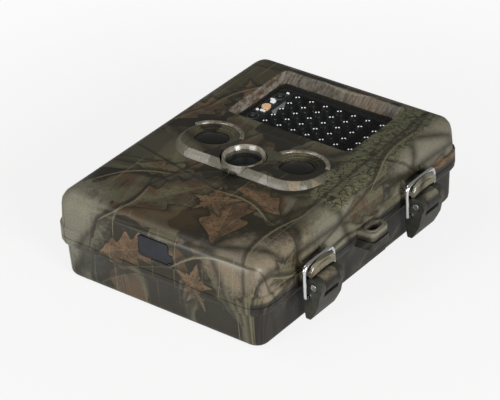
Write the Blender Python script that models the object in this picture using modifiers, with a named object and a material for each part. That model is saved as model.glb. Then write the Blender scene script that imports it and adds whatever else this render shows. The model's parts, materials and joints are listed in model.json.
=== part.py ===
"""A clamshell trail camera, lying on its back with the lens up.

The rear shell holds eight AA cells. The front shell carries the lens, the infrared lamp window, the two
motion sensors and the control panel, and swings up about the long hinge on the left side. Two draw latches
on the right side pull the halves together on a rubber seal.

Axes: +X towards the latches, +Y towards the top of the camera, +Z out of the lens. Sizes are in metres.
"""

import math

import bmesh
import bpy
from mathutils import Matrix, Vector

MM = 0.001

# ---- Case -------------------------------------------------------------------------------------------
CASE_WIDTH = 105.0 * MM
CASE_HEIGHT = 140.0 * MM
CASE_DEPTH = 40.0 * MM
PARTING_HEIGHT = 20.5 * MM
CORNER_RADIUS = 8.5 * MM
SHELL_WALL = 2.4 * MM
SEAT_GAP = 0.3 * MM
FRONT_RIM_HEIGHT = 4.8 * MM
FRONT_RIM_STEP = 0.9 * MM
FRONT_DRAFT = 0.5 * MM
FRONT_EDGE_RADIUS = 6.5 * MM
REAR_RIM_LAND = 1.6 * MM
REAR_RIM_STEP = 2.2 * MM
REAR_RIM_RADIUS = 3.2 * MM
REAR_DRAFT = 0.6 * MM
REAR_EDGE_RADIUS = 3.2 * MM
RIM_STEP_HEIGHT = 0.5 * MM
SHARP_RADIUS = 0.8 * MM
CORNER_STEPS = 5
EDGE_STEPS = 4

# ---- Seal -------------------------------------------------------------------------------------------
SEAL_GROOVE_INSET = 1.1 * MM
SEAL_GROOVE_WIDTH = 1.8 * MM
SEAL_GROOVE_DEPTH = 1.9 * MM

# ---- Raised sensor plateau --------------------------------------------------------------------------
PLATEAU_HALF_WIDTH = 36.0 * MM
PLATEAU_LOW_Y = -19.0 * MM
PLATEAU_HIGH_Y = 14.0 * MM
PLATEAU_RADIUS = 15.0 * MM
PLATEAU_BEVEL = 3.4 * MM
PLATEAU_RISE = 2.3 * MM
PLATEAU_FADE_Y = 10.0 * MM

# ---- Lens and sensor ports --------------------------------------------------------------------------
LENS_Y = -10.0 * MM
LENS_RING_RADIUS = 10.2 * MM
LENS_RING_RISE = 3.6 * MM
LENS_RING_HEIGHT = 3.3 * MM
LENS_GLASS_RADIUS = 7.4 * MM
LENS_GLASS_THICKNESS = 1.2 * MM
LENS_GLASS_RISE = 2.3 * MM
LENS_BARREL_RADIUS = 6.0 * MM
LENS_GLASS_FLAT = 4.4 * MM
LENS_BARREL_MOUTH = 3.0 * MM
LENS_BARREL_WAIST = 0.4
PORT_SPACING = 43.4 * MM
PORT_Y = -3.1 * MM
PORT_RADIUS = 7.2 * MM
PORT_STEP = 1.5 * MM
PORT_STEP_DEPTH = 1.1 * MM
PORT_WINDOW_DROP = 1.4 * MM
PORT_WINDOW_THICKNESS = 1.2 * MM
PORT_WINDOW_LIP = 0.9 * MM
PORT_WINDOW_DOME = 1.0 * MM
HOOD_RADIUS = 12.6 * MM
HOOD_THICKNESS = 0.95 * MM
HOOD_START = math.radians(28.0)
HOOD_END = math.radians(158.0)
SENSOR_CAN_RADIUS = 4.6 * MM
SENSOR_CAN_CLEARANCE = 2.6 * MM
MICROPHONE_Y = 7.6 * MM
MICROPHONE_RADIUS = 0.7 * MM

# ---- Lamp window ------------------------------------------------------------------------------------
WINDOW_X = -0.8 * MM
WINDOW_WIDTH = 58.4 * MM
WINDOW_LENGTH = 34.8 * MM
WINDOW_FROM_END = 13.5 * MM
WINDOW_RADIUS = 2.6 * MM
WINDOW_SIDE_SLOPE = 2.4 * MM
WINDOW_FAR_SLOPE = 4.5 * MM
WINDOW_DROP = 3.6 * MM
WINDOW_THICKNESS = 1.2 * MM
WINDOW_LEDGE = 1.5 * MM
LAMP_COLUMNS = 7
LAMP_ROWS = 5
LAMP_COLUMN_PITCH = 7.27 * MM
LAMP_ROW_PITCH = 5.72 * MM
LAMP_RADIUS = 2.4 * MM
LAMP_BOARD_CLEARANCE = 0.4 * MM
LAMP_FIELD_RIGHT = 3.7 * MM
LAMP_FIELD_UP = 0.9 * MM
BAFFLE_FROM_EDGE = 7.6 * MM
BAFFLE_THICKNESS = 0.8 * MM
STRIP_SENSOR_RADIUS = 2.1 * MM
STRIP_SENSOR_SPREAD = 19.2 * MM
STRIP_SENSOR_ROUND = 0.9 * MM
LIGHT_CELL_RADIUS = 2.0 * MM
INDICATOR_WIDTH = 1.8 * MM
LAMP_POST_RADIUS = 2.0 * MM
LAMP_POST_INSET = 1.0 * MM
BOARD_THICKNESS = 1.6 * MM

# ---- Latches ----------------------------------------------------------------------------------------
LATCH_ROW_Y = -1.8 * MM
LATCH_SPACING = 69.6 * MM
LEVER_PIVOT_OUT = 6.5 * MM
LEVER_PIVOT_DROP = 0.3 * MM
LEVER_HUB_RADIUS = 4.0 * MM
LEVER_WIDTH = 15.2 * MM
LEVER_CHEEK = 3.0 * MM
LEVER_TIP_Z = 4.6 * MM
LEVER_TIP_THICKNESS = 2.3 * MM
LEVER_SLOT_DROP = 4.7 * MM
LEVER_BACK = 5.2 * MM
LEVER_HUB_START = math.radians(-38.0)
LEVER_HUB_STEPS = 14
KNUCKLE_START = math.radians(-128.0)
KNUCKLE_END = math.radians(124.0)
KNUCKLE_STEPS = 16
LEVER_TIP_BACK = 2.2 * MM
LEVER_BACK_SHARES = (0.30, 0.62)
LEVER_FRONT_OUT = 1.8 * MM
LEVER_FRONT_SHARES = (0.55, 0.78)
LATCH_PIN_RADIUS = 1.4 * MM
BAIL_CRANK = 5.8 * MM
BAIL_OVER_CENTRE = math.radians(30.0)
BAIL_BAR_OUT = 3.7 * MM
BAIL_BAR_RISE = 9.2 * MM
BAIL_SPAN = 18.9 * MM
BAIL_WIRE_RADIUS = 0.9 * MM
BAIL_BEND = 2.6 * MM
BAIL_FOOT_BEND = 1.44 * MM
BAIL_HOOK = 4.0 * MM
KEEPER_LENGTH = 16.0 * MM
KEEPER_BOTTOM_RISE = 4.1 * MM
KEEPER_LIP = 1.1 * MM
KEEPER_PLATE = 1.8 * MM
KEEPER_CROWN = 0.9 * MM
KEEPER_ARCH = 0.8 * MM
KEEPER_GAP = 1.0 * MM
KEEPER_STATIONS = 10
GUSSET_SPACING = 13.4 * MM
GUSSET_THICKNESS = 1.0 * MM
GUSSET_HEIGHT = 2.8 * MM

# ---- Padlock lug ------------------------------------------------------------------------------------
LUG_Y = -0.5 * MM
LUG_LENGTH = 12.6 * MM
LUG_TAPER = 0.8 * MM
LUG_OUT = 7.9 * MM
LUG_THICKNESS = 3.6 * MM
LUG_CORNER = 2.0 * MM
LUG_HOLE_OUT = 4.2 * MM
LUG_HOLE_LENGTH = 8.0 * MM
LUG_HOLE_WIDTH = 4.9 * MM
LUG_COLLAR_WIDTH = 0.8 * MM
LUG_COLLAR_HEIGHT = 0.5 * MM

# ---- Case hinge -------------------------------------------------------------------------------------
HINGE_OFFSET = 3.8 * MM
HINGE_RADIUS = 3.2 * MM
HINGE_PIN_RADIUS = 1.3 * MM
HINGE_LENGTH = 90.0 * MM
HINGE_END_KNUCKLE = 12.0 * MM
HINGE_FRONT_KNUCKLE = 18.0 * MM

# ---- Power inlet on the lower end -------------------------------------------------------------------
COVER_WIDTH = 14.9 * MM
COVER_HEIGHT = 8.8 * MM
COVER_THICKNESS = 2.2 * MM
COVER_CORNER = 1.2 * MM
COVER_PLUG_RADIUS = 2.2 * MM
COVER_PLUG_LENGTH = 1.0 * MM
COVER_TAB_WIDTH = 1.9 * MM
COVER_TAB_HEIGHT = 3.4 * MM
COVER_TAB_DROP = 1.6 * MM
INLET_RADIUS = 3.3 * MM
INLET_PAD = 4.6 * MM
JACK_WIDTH = 9.0 * MM
JACK_CLEARANCE = 1.4 * MM
JACK_LENGTH = 12.0 * MM
JACK_BORE_RADIUS = 2.8 * MM
JACK_PIN_RADIUS = 1.0 * MM
JACK_DEPTH = 9.0 * MM

# ---- Control panel inside the front case ------------------------------------------------------------
PANEL_THICKNESS = 1.6 * MM
PANEL_LIFT = 0.9 * MM
PANEL_BOSS_RADIUS = 3.0 * MM
PANEL_BOSS_INSET = 6.5 * MM
SCREEN_X = 0.0 * MM
SCREEN_FROM_END = 22.5 * MM
SCREEN_ABOVE_KEYS = 22.5 * MM
SCREEN_WIDTH = 52.0 * MM
SCREEN_BORDER = 3.0 * MM
SCREEN_DEPTH = 1.6 * MM
MAIN_BOARD_WIDTH = 78.0 * MM
MAIN_BOARD_FROM_END = 25.0 * MM
MAIN_BOARD_HIGH = 15.0 * MM
MAIN_BOARD_LIFT = 4.35 * MM
BOARD_POST_RADIUS = 2.0 * MM
BOARD_POST_INSET = 3.5 * MM
KEY_RADIUS = 3.4 * MM
KEY_FLANGE = 0.8 * MM
KEY_PITCH = 11.0 * MM
KEY_PAD_X = -8.0 * MM
KEY_PAD_Y = -14.0 * MM
KEY_PROUD = 0.4 * MM
SWITCH_X = 24.0 * MM
SWITCH_Y = -16.5 * MM
SWITCH_WIDTH = 3.0 * MM
SWITCH_LENGTH = 3.6 * MM
SWITCH_TRAVEL = 5.0 * MM
SWITCH_PROUD = 0.5 * MM
BAY_X = -24.0 * MM
BAY_FROM_END = 14.5 * MM
BAY_WIDTH = 17.0 * MM
BAY_LENGTH = 17.0 * MM
BAY_DEPTH = 6.5 * MM
BAY_WALL = 1.2 * MM
CARD_SLOT_WIDTH = 14.5 * MM
CARD_SLOT_LENGTH = 15.0 * MM
CARD_SLOT_HEIGHT = 2.4 * MM
CARD_WIDTH = 11.4 * MM
CARD_THICKNESS = 1.1 * MM
CARD_MOUTH = 0.9 * MM
DATA_PORT_X = 14.0 * MM
DATA_PORT_WIDTH = 8.6 * MM
DATA_PORT_LENGTH = 3.8 * MM
DATA_PORT_HEIGHT = 8.0 * MM
DATA_MOUTH_WIDTH = 7.4 * MM
DATA_MOUTH_LENGTH = 2.6 * MM
DATA_MOUTH_DEPTH = 6.5 * MM

# ---- Batteries --------------------------------------------------------------------------------------
CELL_RADIUS = 7.1 * MM
CELL_NUB_RADIUS = 2.75 * MM
CELL_NUB_HEIGHT = 1.2 * MM
CELL_SHOULDER = 0.6 * MM
CELL_PITCH = 14.9 * MM
CELLS_PER_BANK = 4
TRAY_FLOOR = 1.0 * MM
TRAY_WALL = 1.3 * MM
TRAY_SIDE = 0.9 * MM
TRAY_SADDLE_HEIGHT = 5.5 * MM
TRAY_END_HEIGHT = 13.5 * MM
CONTACT_THICKNESS = 0.5 * MM
CONTACT_HEIGHT = 9.0 * MM
BANK_START = 7.2 * MM
TRAY_END_GAP = 2.3 * MM

# ---- Back of the case -------------------------------------------------------------------------------
STRAP_X = 40.4 * MM
STRAP_SLOT_LENGTH = 30.0 * MM
STRAP_POCKET_WIDTH = 13.0 * MM
STRAP_POCKET_DEPTH = 6.8 * MM
STRAP_BAR_WIDTH = 3.6 * MM
STRAP_BAR_THICKNESS = 2.2 * MM
TRIPOD_THREAD_RADIUS = 3.175 * MM
TRIPOD_INSERT_RADIUS = 4.5 * MM
TRIPOD_INSERT_LENGTH = 7.0 * MM
TRIPOD_BOSS_RADIUS = 6.4 * MM

# ---- Derived places ---------------------------------------------------------------------------------
OVERLAP = 1.0 * MM
SMALL = 0.00001
REAR_TOP = PARTING_HEIGHT - SEAT_GAP / 2
FRONT_BOTTOM = PARTING_HEIGHT + SEAT_GAP / 2
FRONT_WALL_INSET = FRONT_RIM_STEP + FRONT_DRAFT + SHELL_WALL
REAR_WALL_INSET = REAR_RIM_STEP + REAR_DRAFT + SHELL_WALL
RIM_X = CASE_WIDTH / 2
HINGE_X = -RIM_X - HINGE_OFFSET
LEVER_PIVOT_X = RIM_X + LEVER_PIVOT_OUT
LEVER_PIVOT_Z = PARTING_HEIGHT - LEVER_PIVOT_DROP
BAIL_BAR_X = RIM_X + BAIL_BAR_OUT
BAIL_BAR_Z = PARTING_HEIGHT + BAIL_BAR_RISE
KEEPER_LIP_X = BAIL_BAR_X + BAIL_WIRE_RADIUS + SEAT_GAP
KEEPER_BOTTOM_Z = PARTING_HEIGHT + KEEPER_BOTTOM_RISE
LUG_REACH = RIM_X + LUG_OUT
LUG_HOLE_X = RIM_X + LUG_HOLE_OUT
HINGE_Z = PARTING_HEIGHT
LEVER_OUTER_X = LEVER_PIVOT_X + LEVER_HUB_RADIUS
FRAME_SHIFT = -(LEVER_OUTER_X + HINGE_X - HINGE_RADIUS) / 2
BAIL_PIVOT_X = LEVER_PIVOT_X - BAIL_CRANK * math.sin(BAIL_OVER_CENTRE)
BAIL_PIVOT_Z = LEVER_PIVOT_Z - BAIL_CRANK * math.cos(BAIL_OVER_CENTRE)
LATCH_PLACES = (LATCH_ROW_Y - LATCH_SPACING / 2, LATCH_ROW_Y + LATCH_SPACING / 2)
KEEPER_TOP_Z = BAIL_BAR_Z - BAIL_WIRE_RADIUS - KEEPER_GAP
PANEL_Z = FRONT_BOTTOM + PANEL_LIFT
PANEL_BACK_Z = PANEL_Z + PANEL_THICKNESS
MAIN_BOARD_Z = PANEL_BACK_Z + MAIN_BOARD_LIFT
MAIN_BOARD_TOP = MAIN_BOARD_Z + BOARD_THICKNESS
MAIN_BOARD_LOW = -CASE_HEIGHT / 2 + MAIN_BOARD_FROM_END
SCREEN_LOW = KEY_PAD_Y + SCREEN_ABOVE_KEYS
SCREEN_HIGH = CASE_HEIGHT / 2 - SCREEN_FROM_END
SCREEN_Y = (SCREEN_LOW + SCREEN_HIGH) / 2
SCREEN_HEIGHT = SCREEN_HIGH - SCREEN_LOW
SCREEN_BACK_Z = PANEL_BACK_Z + SEAT_GAP + SCREEN_DEPTH
BAY_Y = -CASE_HEIGHT / 2 + BAY_FROM_END
LENS_RING_TOP = CASE_DEPTH + LENS_RING_RISE
LENS_RING_SEAT = LENS_RING_TOP - LENS_RING_HEIGHT
LENS_GLASS_TOP = CASE_DEPTH + LENS_GLASS_RISE
PORT_WINDOW_TOP = CASE_DEPTH - PORT_WINDOW_DROP
WINDOW_LEFT = WINDOW_X - WINDOW_WIDTH / 2
WINDOW_RIGHT = WINDOW_X + WINDOW_WIDTH / 2
WINDOW_HIGH = CASE_HEIGHT / 2 - WINDOW_FROM_END
WINDOW_LOW = WINDOW_HIGH - WINDOW_LENGTH
WINDOW_TOP = CASE_DEPTH - WINDOW_DROP
LAMP_FIELD_X = WINDOW_X + LAMP_FIELD_RIGHT
LAMP_FIELD_Y = (WINDOW_LOW + WINDOW_HIGH) / 2 + LAMP_FIELD_UP
BAFFLE_X = WINDOW_LEFT + BAFFLE_FROM_EDGE
LAMP_TOP_Z = WINDOW_TOP - WINDOW_THICKNESS - SEAT_GAP
LAMP_BOARD_TOP = SCREEN_BACK_Z + LAMP_BOARD_CLEARANCE + BOARD_THICKNESS
LEDGE_Z = WINDOW_TOP - WINDOW_THICKNESS - SEAT_GAP
HOUSING_BOTTOM = LEDGE_Z - WINDOW_LEDGE
FRONT_WALL_Y = -CASE_HEIGHT / 2 + FRONT_RIM_STEP + FRONT_DRAFT / 2
JACK_HEIGHT = CASE_DEPTH - SHELL_WALL - PANEL_BACK_Z - 2 * JACK_CLEARANCE
COVER_Z = (PANEL_BACK_Z + CASE_DEPTH - SHELL_WALL) / 2
COVER_OUTER_Y = FRONT_WALL_Y
COVER_HINGE_X = -COVER_WIDTH / 2
POCKET_FLOOR_Y = COVER_OUTER_Y + COVER_THICKNESS + SEAT_GAP
JACK_FRONT_Y = POCKET_FLOOR_Y + COVER_PLUG_LENGTH + SEAT_GAP
TRAY_BOTTOM = SHELL_WALL + SEAT_GAP
CELL_AXIS_Z = TRAY_BOTTOM + TRAY_FLOOR + SEAT_GAP + CELL_RADIUS
TRAY_LENGTH = CASE_HEIGHT / 2 - REAR_WALL_INSET - TRAY_END_GAP - BANK_START
CELL_LENGTH = TRAY_LENGTH - 2 * (TRAY_WALL + CONTACT_THICKNESS) - 4 * SEAT_GAP
TRAY_HALF_WIDTH = CELLS_PER_BANK * CELL_PITCH / 2 + TRAY_SIDE

ALONG_X = Matrix.Rotation(math.pi / 2, 4, "Y")
ALONG_Y = Matrix.Rotation(-math.pi / 2, 4, "X")
ALONG_Z = Matrix.Identity(4)
PLANE_XY = Matrix.Identity(4)
PLANE_XZ = Matrix(((1, 0, 0, 0), (0, 0, -1, 0), (0, 1, 0, 0), (0, 0, 0, 1)))


# ---- Scene and materials ----------------------------------------------------------------------------
def clear_scene():
    for old in list(bpy.data.objects):
        bpy.data.objects.remove(old, do_unlink=True)


def new_collection(name):
    collection = bpy.data.collections.new(name)
    bpy.context.scene.collection.children.link(collection)
    return collection


def new_material(name, colour, roughness, metallic=0.0):
    material = bpy.data.materials.new(name)
    material.use_nodes = True
    shader = material.node_tree.nodes["Principled BSDF"]
    shader.inputs["Base Color"].default_value = (*colour, 1.0)
    shader.inputs["Roughness"].default_value = roughness
    shader.inputs["Metallic"].default_value = metallic
    material.diffuse_color = (*colour, 1.0)
    return material


def make_materials():
    """One material for each kind of surface, with its colour from the photograph."""
    return {
        "case": new_material("camouflage_plastic", (0.115, 0.105, 0.07), 0.45),
        "lever": new_material("dark_olive_plastic", (0.05, 0.05, 0.04), 0.4),
        "chrome": new_material("chrome_wire", (0.85, 0.85, 0.86), 0.08, 1.0),
        "steel": new_material("steel", (0.55, 0.54, 0.52), 0.3, 1.0),
        "brass": new_material("brass", (0.7, 0.52, 0.25), 0.35, 1.0),
        "rubber": new_material("dark_rubber", (0.025, 0.03, 0.038), 0.7),
        "seal": new_material("seal_rubber", (0.05, 0.05, 0.05), 0.75),
        "black": new_material("black_plastic", (0.015, 0.015, 0.016), 0.35),
        "glass": new_material("dark_glass", (0.02, 0.03, 0.025), 0.05),
        "sensor": new_material("sensor_window", (0.02, 0.018, 0.018), 0.25),
        "board": new_material("circuit_board", (0.02, 0.09, 0.04), 0.5),
        "lamp": new_material("lamp_board", (0.012, 0.012, 0.013), 0.3),
        "gold": new_material("light_cell", (0.85, 0.55, 0.25), 0.3, 0.4),
        "cell": new_material("cell_jacket", (0.12, 0.13, 0.14), 0.3),
        "screen": new_material("screen", (0.04, 0.06, 0.08), 0.1),
        "key": new_material("key_rubber", (0.3, 0.3, 0.3), 0.6),
    }


def new_empty(name, location, parent=None):
    empty = bpy.data.objects.new(name, None)
    empty.empty_display_size = CASE_DEPTH / 4
    empty.location = location
    empty.parent = parent
    PARTS.objects.link(empty)
    return empty


def attach(obj, anchor):
    """Parents to an anchor empty and leaves the mesh in case coordinates."""
    obj.parent = anchor
    if anchor.parent is not None:
        obj.matrix_parent_inverse = Matrix.Translation(-anchor.location)


def place(name, bm, material, anchor):
    """The named object that holds this mesh."""
    mesh = bpy.data.meshes.new(name)
    bm.to_mesh(mesh)
    bm.free()
    mesh.materials.append(MATERIALS[material])
    mesh.shade_smooth()
    mesh.set_sharp_from_angle(angle=math.radians(30))
    obj = bpy.data.objects.new(name, mesh)
    PARTS.objects.link(obj)
    attach(obj, anchor)
    return obj


def shape_with(target, bm, operation, label):
    """Adds a Boolean whose helper solid is this mesh."""
    mesh = bpy.data.meshes.new(target.name + "_" + label)
    bm.to_mesh(mesh)
    bm.free()
    helper = bpy.data.objects.new(mesh.name, mesh)
    helper.display_type = "WIRE"
    helper.hide_render = True
    CUTTERS.objects.link(helper)
    attach(helper, target.parent)
    modifier = target.modifiers.new(label, "BOOLEAN")
    modifier.operation = operation
    modifier.solver = "EXACT"
    modifier.object = helper


def cut(target, bm, label):
    shape_with(target, bm, "DIFFERENCE", label)


def add(target, bm, label):
    shape_with(target, bm, "UNION", label)


# ---- Shapes -----------------------------------------------------------------------------------------
def box(x, y, z):
    """A box from three (low, high) pairs."""
    bm = bmesh.new()
    bmesh.ops.create_cube(bm, size=1.0)
    size = Vector((x[1] - x[0], y[1] - y[0], z[1] - z[0]))
    middle = Vector((x[1] + x[0], y[1] + y[0], z[1] + z[0])) / 2
    bmesh.ops.transform(bm, matrix=Matrix.Translation(middle) @ Matrix.Diagonal(size).to_4x4(), verts=bm.verts)
    return bm


def around(centre, length):
    return (centre - length / 2, centre + length / 2)


def cylinder(centre, radius, length, direction=ALONG_Z, segments=20, top_radius=None):
    """A cylinder or cone about its centre."""
    bm = bmesh.new()
    bmesh.ops.create_cone(
        bm,
        cap_ends=True,
        segments=segments,
        radius1=radius,
        radius2=radius if top_radius is None else top_radius,
        depth=length,
        matrix=Matrix.Translation(Vector(centre)) @ direction,
    )
    return bm


def loft(sections):
    """A closed solid through sections that have the same number of points."""
    bm = bmesh.new()
    rings = [[bm.verts.new(point) for point in section] for section in sections]
    for low, high in zip(rings, rings[1:]):
        for i, corner in enumerate(low):
            j = (i + 1) % len(low)
            bm.faces.new((corner, low[j], high[j], high[i]))
    bm.faces.new(list(reversed(rings[0])))
    bm.faces.new(rings[-1])
    bmesh.ops.recalc_face_normals(bm, faces=bm.faces)
    return bm


def rounded_rectangle(x, y, radius, steps=CORNER_STEPS):
    """The points of a rectangle with round corners, from (low, high) pairs, in the XY plane."""
    points = []
    corners = ((x[1], y[1], 0), (x[0], y[1], 1), (x[0], y[0], 2), (x[1], y[0], 3))
    for corner_x, corner_y, quarter in corners:
        centre_x = corner_x - math.copysign(radius, corner_x - (x[0] + x[1]) / 2)
        centre_y = corner_y - math.copysign(radius, corner_y - (y[0] + y[1]) / 2)
        for step in range(steps + 1):
            angle = (quarter + step / steps) * math.pi / 2
            points.append((centre_x + radius * math.cos(angle), centre_y + radius * math.sin(angle)))
    return points


def case_section(inset, z):
    """The case outline drawn in by an inset, at a height."""
    radius = max(CORNER_RADIUS - inset, SHARP_RADIUS)
    outline = rounded_rectangle(around(0, CASE_WIDTH - 2 * inset), around(0, CASE_HEIGHT - 2 * inset), radius)
    return [(x, y, z) for x, y in outline]


def rounded_edge(inset, z, radius, rise, steps=EDGE_STEPS):
    """Case sections that round an edge over, upwards where rise is 1 and downwards where it is -1."""
    sections = []
    for step in range(steps + 1):
        angle = step / steps * math.pi / 2
        sections.append(case_section(inset + radius * (1 - math.cos(angle)), z + rise * radius * math.sin(angle)))
    return sections


def extrusion(outlines, low, high, plane=PLANE_XY):
    """A flat outline, with any holes as further outlines, made a solid between two heights of its plane."""
    curve = bpy.data.curves.new("outline", "CURVE")
    curve.dimensions = "2D"
    curve.fill_mode = "BOTH"
    curve.extrude = (high - low) / 2
    for outline in outlines:
        spline = curve.splines.new("POLY")
        spline.points.add(len(outline) - 1)
        spline.use_cyclic_u = True
        for point, place_2d in zip(spline.points, outline):
            point.co = (place_2d[0], place_2d[1], 0.0, 1.0)
    return mesh_of_curve(curve, plane @ Matrix.Translation((0, 0, (high + low) / 2)))


def mesh_of_curve(curve, matrix):
    """The welded mesh of a curve, moved by a matrix."""
    guide = bpy.data.objects.new("guide", curve)
    bpy.context.scene.collection.objects.link(guide)
    graph = bpy.context.evaluated_depsgraph_get()
    mesh = bpy.data.meshes.new_from_object(guide.evaluated_get(graph))
    bm = bmesh.new()
    bm.from_mesh(mesh)
    bmesh.ops.remove_doubles(bm, verts=bm.verts, dist=SMALL / 10)
    bmesh.ops.transform(bm, matrix=matrix, verts=bm.verts)
    bmesh.ops.recalc_face_normals(bm, faces=bm.faces)
    bpy.data.objects.remove(guide)
    bpy.data.meshes.remove(mesh)
    return bm


def wire(points, radius):
    """A round wire through points, as a welded mesh."""
    curve = bpy.data.curves.new("wire", "CURVE")
    curve.dimensions = "3D"
    curve.bevel_depth = radius
    curve.bevel_resolution = 2
    curve.use_fill_caps = True
    spline = curve.splines.new("POLY")
    spline.points.add(len(points) - 1)
    for point, place_3d in zip(spline.points, points):
        point.co = (*place_3d, 1.0)
    return mesh_of_curve(curve, Matrix.Identity(4))


def turned(name, profile, material, anchor, centre, direction=ALONG_Z, steps=20):
    """A turned piece: the profile of (radius, height) runs from its top to its bottom."""
    mesh = bpy.data.meshes.new(name)
    points = [(radius, 0.0, height) for radius, height in profile]
    edges = [(i, i + 1) for i in range(len(points) - 1)]
    if profile[0][0] > SMALL:
        edges.append((len(points) - 1, 0))
    mesh.from_pydata(points, edges, [])
    mesh.materials.append(MATERIALS[material])
    obj = bpy.data.objects.new(name, mesh)
    PARTS.objects.link(obj)
    attach(obj, anchor)
    obj.matrix_basis = Matrix.Translation(Vector(centre)) @ direction
    screw = obj.modifiers.new("turn", "SCREW")
    screw.steps = steps
    screw.render_steps = steps
    screw.use_merge_vertices = True
    screw.merge_threshold = SMALL
    screw.use_smooth_shade = True
    return obj


def merged(*pieces):
    """Several meshes, which must not touch, in one."""
    whole = bmesh.new()
    for piece in pieces:
        mesh = bpy.data.meshes.new("piece")
        piece.to_mesh(mesh)
        piece.free()
        whole.from_mesh(mesh)
        bpy.data.meshes.remove(mesh)
    return whole


# ---- Rear case --------------------------------------------------------------------------------------
def rear_outer():
    land_z = REAR_TOP - REAR_RIM_LAND
    flare = math.acos(1 - REAR_RIM_STEP / REAR_RIM_RADIUS)
    sections = list(reversed(rounded_edge(REAR_RIM_STEP + REAR_DRAFT, REAR_EDGE_RADIUS, REAR_EDGE_RADIUS, -1)))
    for step in range(EDGE_STEPS, -1, -1):
        angle = flare * step / EDGE_STEPS
        inset = REAR_RIM_RADIUS * (1 - math.cos(angle))
        sections.append(case_section(inset, land_z - REAR_RIM_RADIUS * math.sin(angle)))
    sections.append(case_section(0, REAR_TOP))
    return loft(sections)


def latch_knuckle(y):
    """The fixed boss between a lever's cheeks, with its web back to the wall."""
    half_width = LEVER_WIDTH / 2 - LEVER_CHEEK - SEAT_GAP
    wall_x = RIM_X - REAR_WALL_INSET + OVERLAP
    web_top = REAR_TOP - SEAT_GAP
    web_bottom = LEVER_PIVOT_Z - LEVER_SLOT_DROP + 2 * SEAT_GAP
    outline = [(wall_x, web_bottom)]
    for step in range(KNUCKLE_STEPS + 1):
        angle = KNUCKLE_START + (KNUCKLE_END - KNUCKLE_START) * step / KNUCKLE_STEPS
        outline.append(
            (
                LEVER_PIVOT_X + LEVER_HUB_RADIUS * math.cos(angle),
                LEVER_PIVOT_Z + LEVER_HUB_RADIUS * math.sin(angle),
            )
        )
    outline += [(RIM_X + 2 * SEAT_GAP, web_top), (wall_x, web_top)]
    return extrusion([outline], -y - half_width, -y + half_width, PLANE_XZ)


def lug_outline(extra=0.0):
    """The padlock lug from above, tapering away from the wall."""
    root_x = RIM_X - FRONT_RIM_STEP - OVERLAP
    half_root = LUG_LENGTH / 2 + extra
    half_tip = half_root - LUG_TAPER
    reach = LUG_REACH + extra
    points = [(root_x, LUG_Y - half_root)]
    for side in (-1, 1):
        for step in range(4):
            angle = math.pi / 2 * (step / 3 if side < 0 else 1 - step / 3)
            x = reach - LUG_CORNER + LUG_CORNER * math.sin(angle)
            points.append((x, LUG_Y + side * (half_tip - LUG_CORNER + LUG_CORNER * math.cos(angle))))
    points.append((root_x, LUG_Y + half_root))
    return points


def lug_slot(extra=0.0):
    """The obround padlock hole."""
    return rounded_rectangle(
        around(LUG_HOLE_X, LUG_HOLE_WIDTH + 2 * extra),
        around(LUG_Y, LUG_HOLE_LENGTH + 2 * extra),
        LUG_HOLE_WIDTH / 2 + extra - SMALL,
        4,
    )


def hinge_runs(front):
    """The (low, high) stretches of the hinge line that one half of the case fills."""
    end = HINGE_LENGTH / 2
    inner = end - HINGE_END_KNUCKLE
    middle = inner - HINGE_FRONT_KNUCKLE
    gap = SEAT_GAP / 2
    if front:
        return [(-inner + gap, -middle - gap), (middle + gap, inner - gap)]
    return [(-end, -inner - gap), (-middle + gap, middle - gap), (inner + gap, end)]


def hinge_knuckle(run, front):
    """One knuckle with its web to the rim: above the parting line on the front half, below it on the rear."""
    centre = ((HINGE_X, (run[0] + run[1]) / 2, HINGE_Z))
    barrel = cylinder(centre, HINGE_RADIUS, run[1] - run[0], ALONG_Y, 20)
    low = FRONT_BOTTOM + SEAT_GAP if front else HINGE_Z - HINGE_RADIUS
    high = HINGE_Z + HINGE_RADIUS if front else REAR_TOP - SEAT_GAP
    web = box((HINGE_X, -RIM_X + OVERLAP), run, (low, high))
    return barrel, web


def add_hinge(shell, front):
    for index, run in enumerate(hinge_runs(front)):
        barrel, web = hinge_knuckle(run, front)
        add(shell, barrel, f"hinge_barrel_{index + 1}")
        add(shell, web, f"hinge_web_{index + 1}")
    bore = cylinder((HINGE_X, 0, HINGE_Z), HINGE_PIN_RADIUS + SEAT_GAP, HINGE_LENGTH + OVERLAP, ALONG_Y, 12)
    cut(shell, bore, "hinge_bore")


def strap_pocket(side):
    """The pocket for a tree strap: open below on both sides of its bar, and joined over the bar."""
    x = side * STRAP_X
    way = STRAP_POCKET_WIDTH
    y = around(0, STRAP_SLOT_LENGTH)
    pocket = box(around(x, way), y, (-OVERLAP, STRAP_POCKET_DEPTH))
    bar = box(around(x, STRAP_BAR_WIDTH), around(0, STRAP_SLOT_LENGTH + 2 * OVERLAP), (0, STRAP_BAR_THICKNESS))
    return pocket, bar


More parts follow.
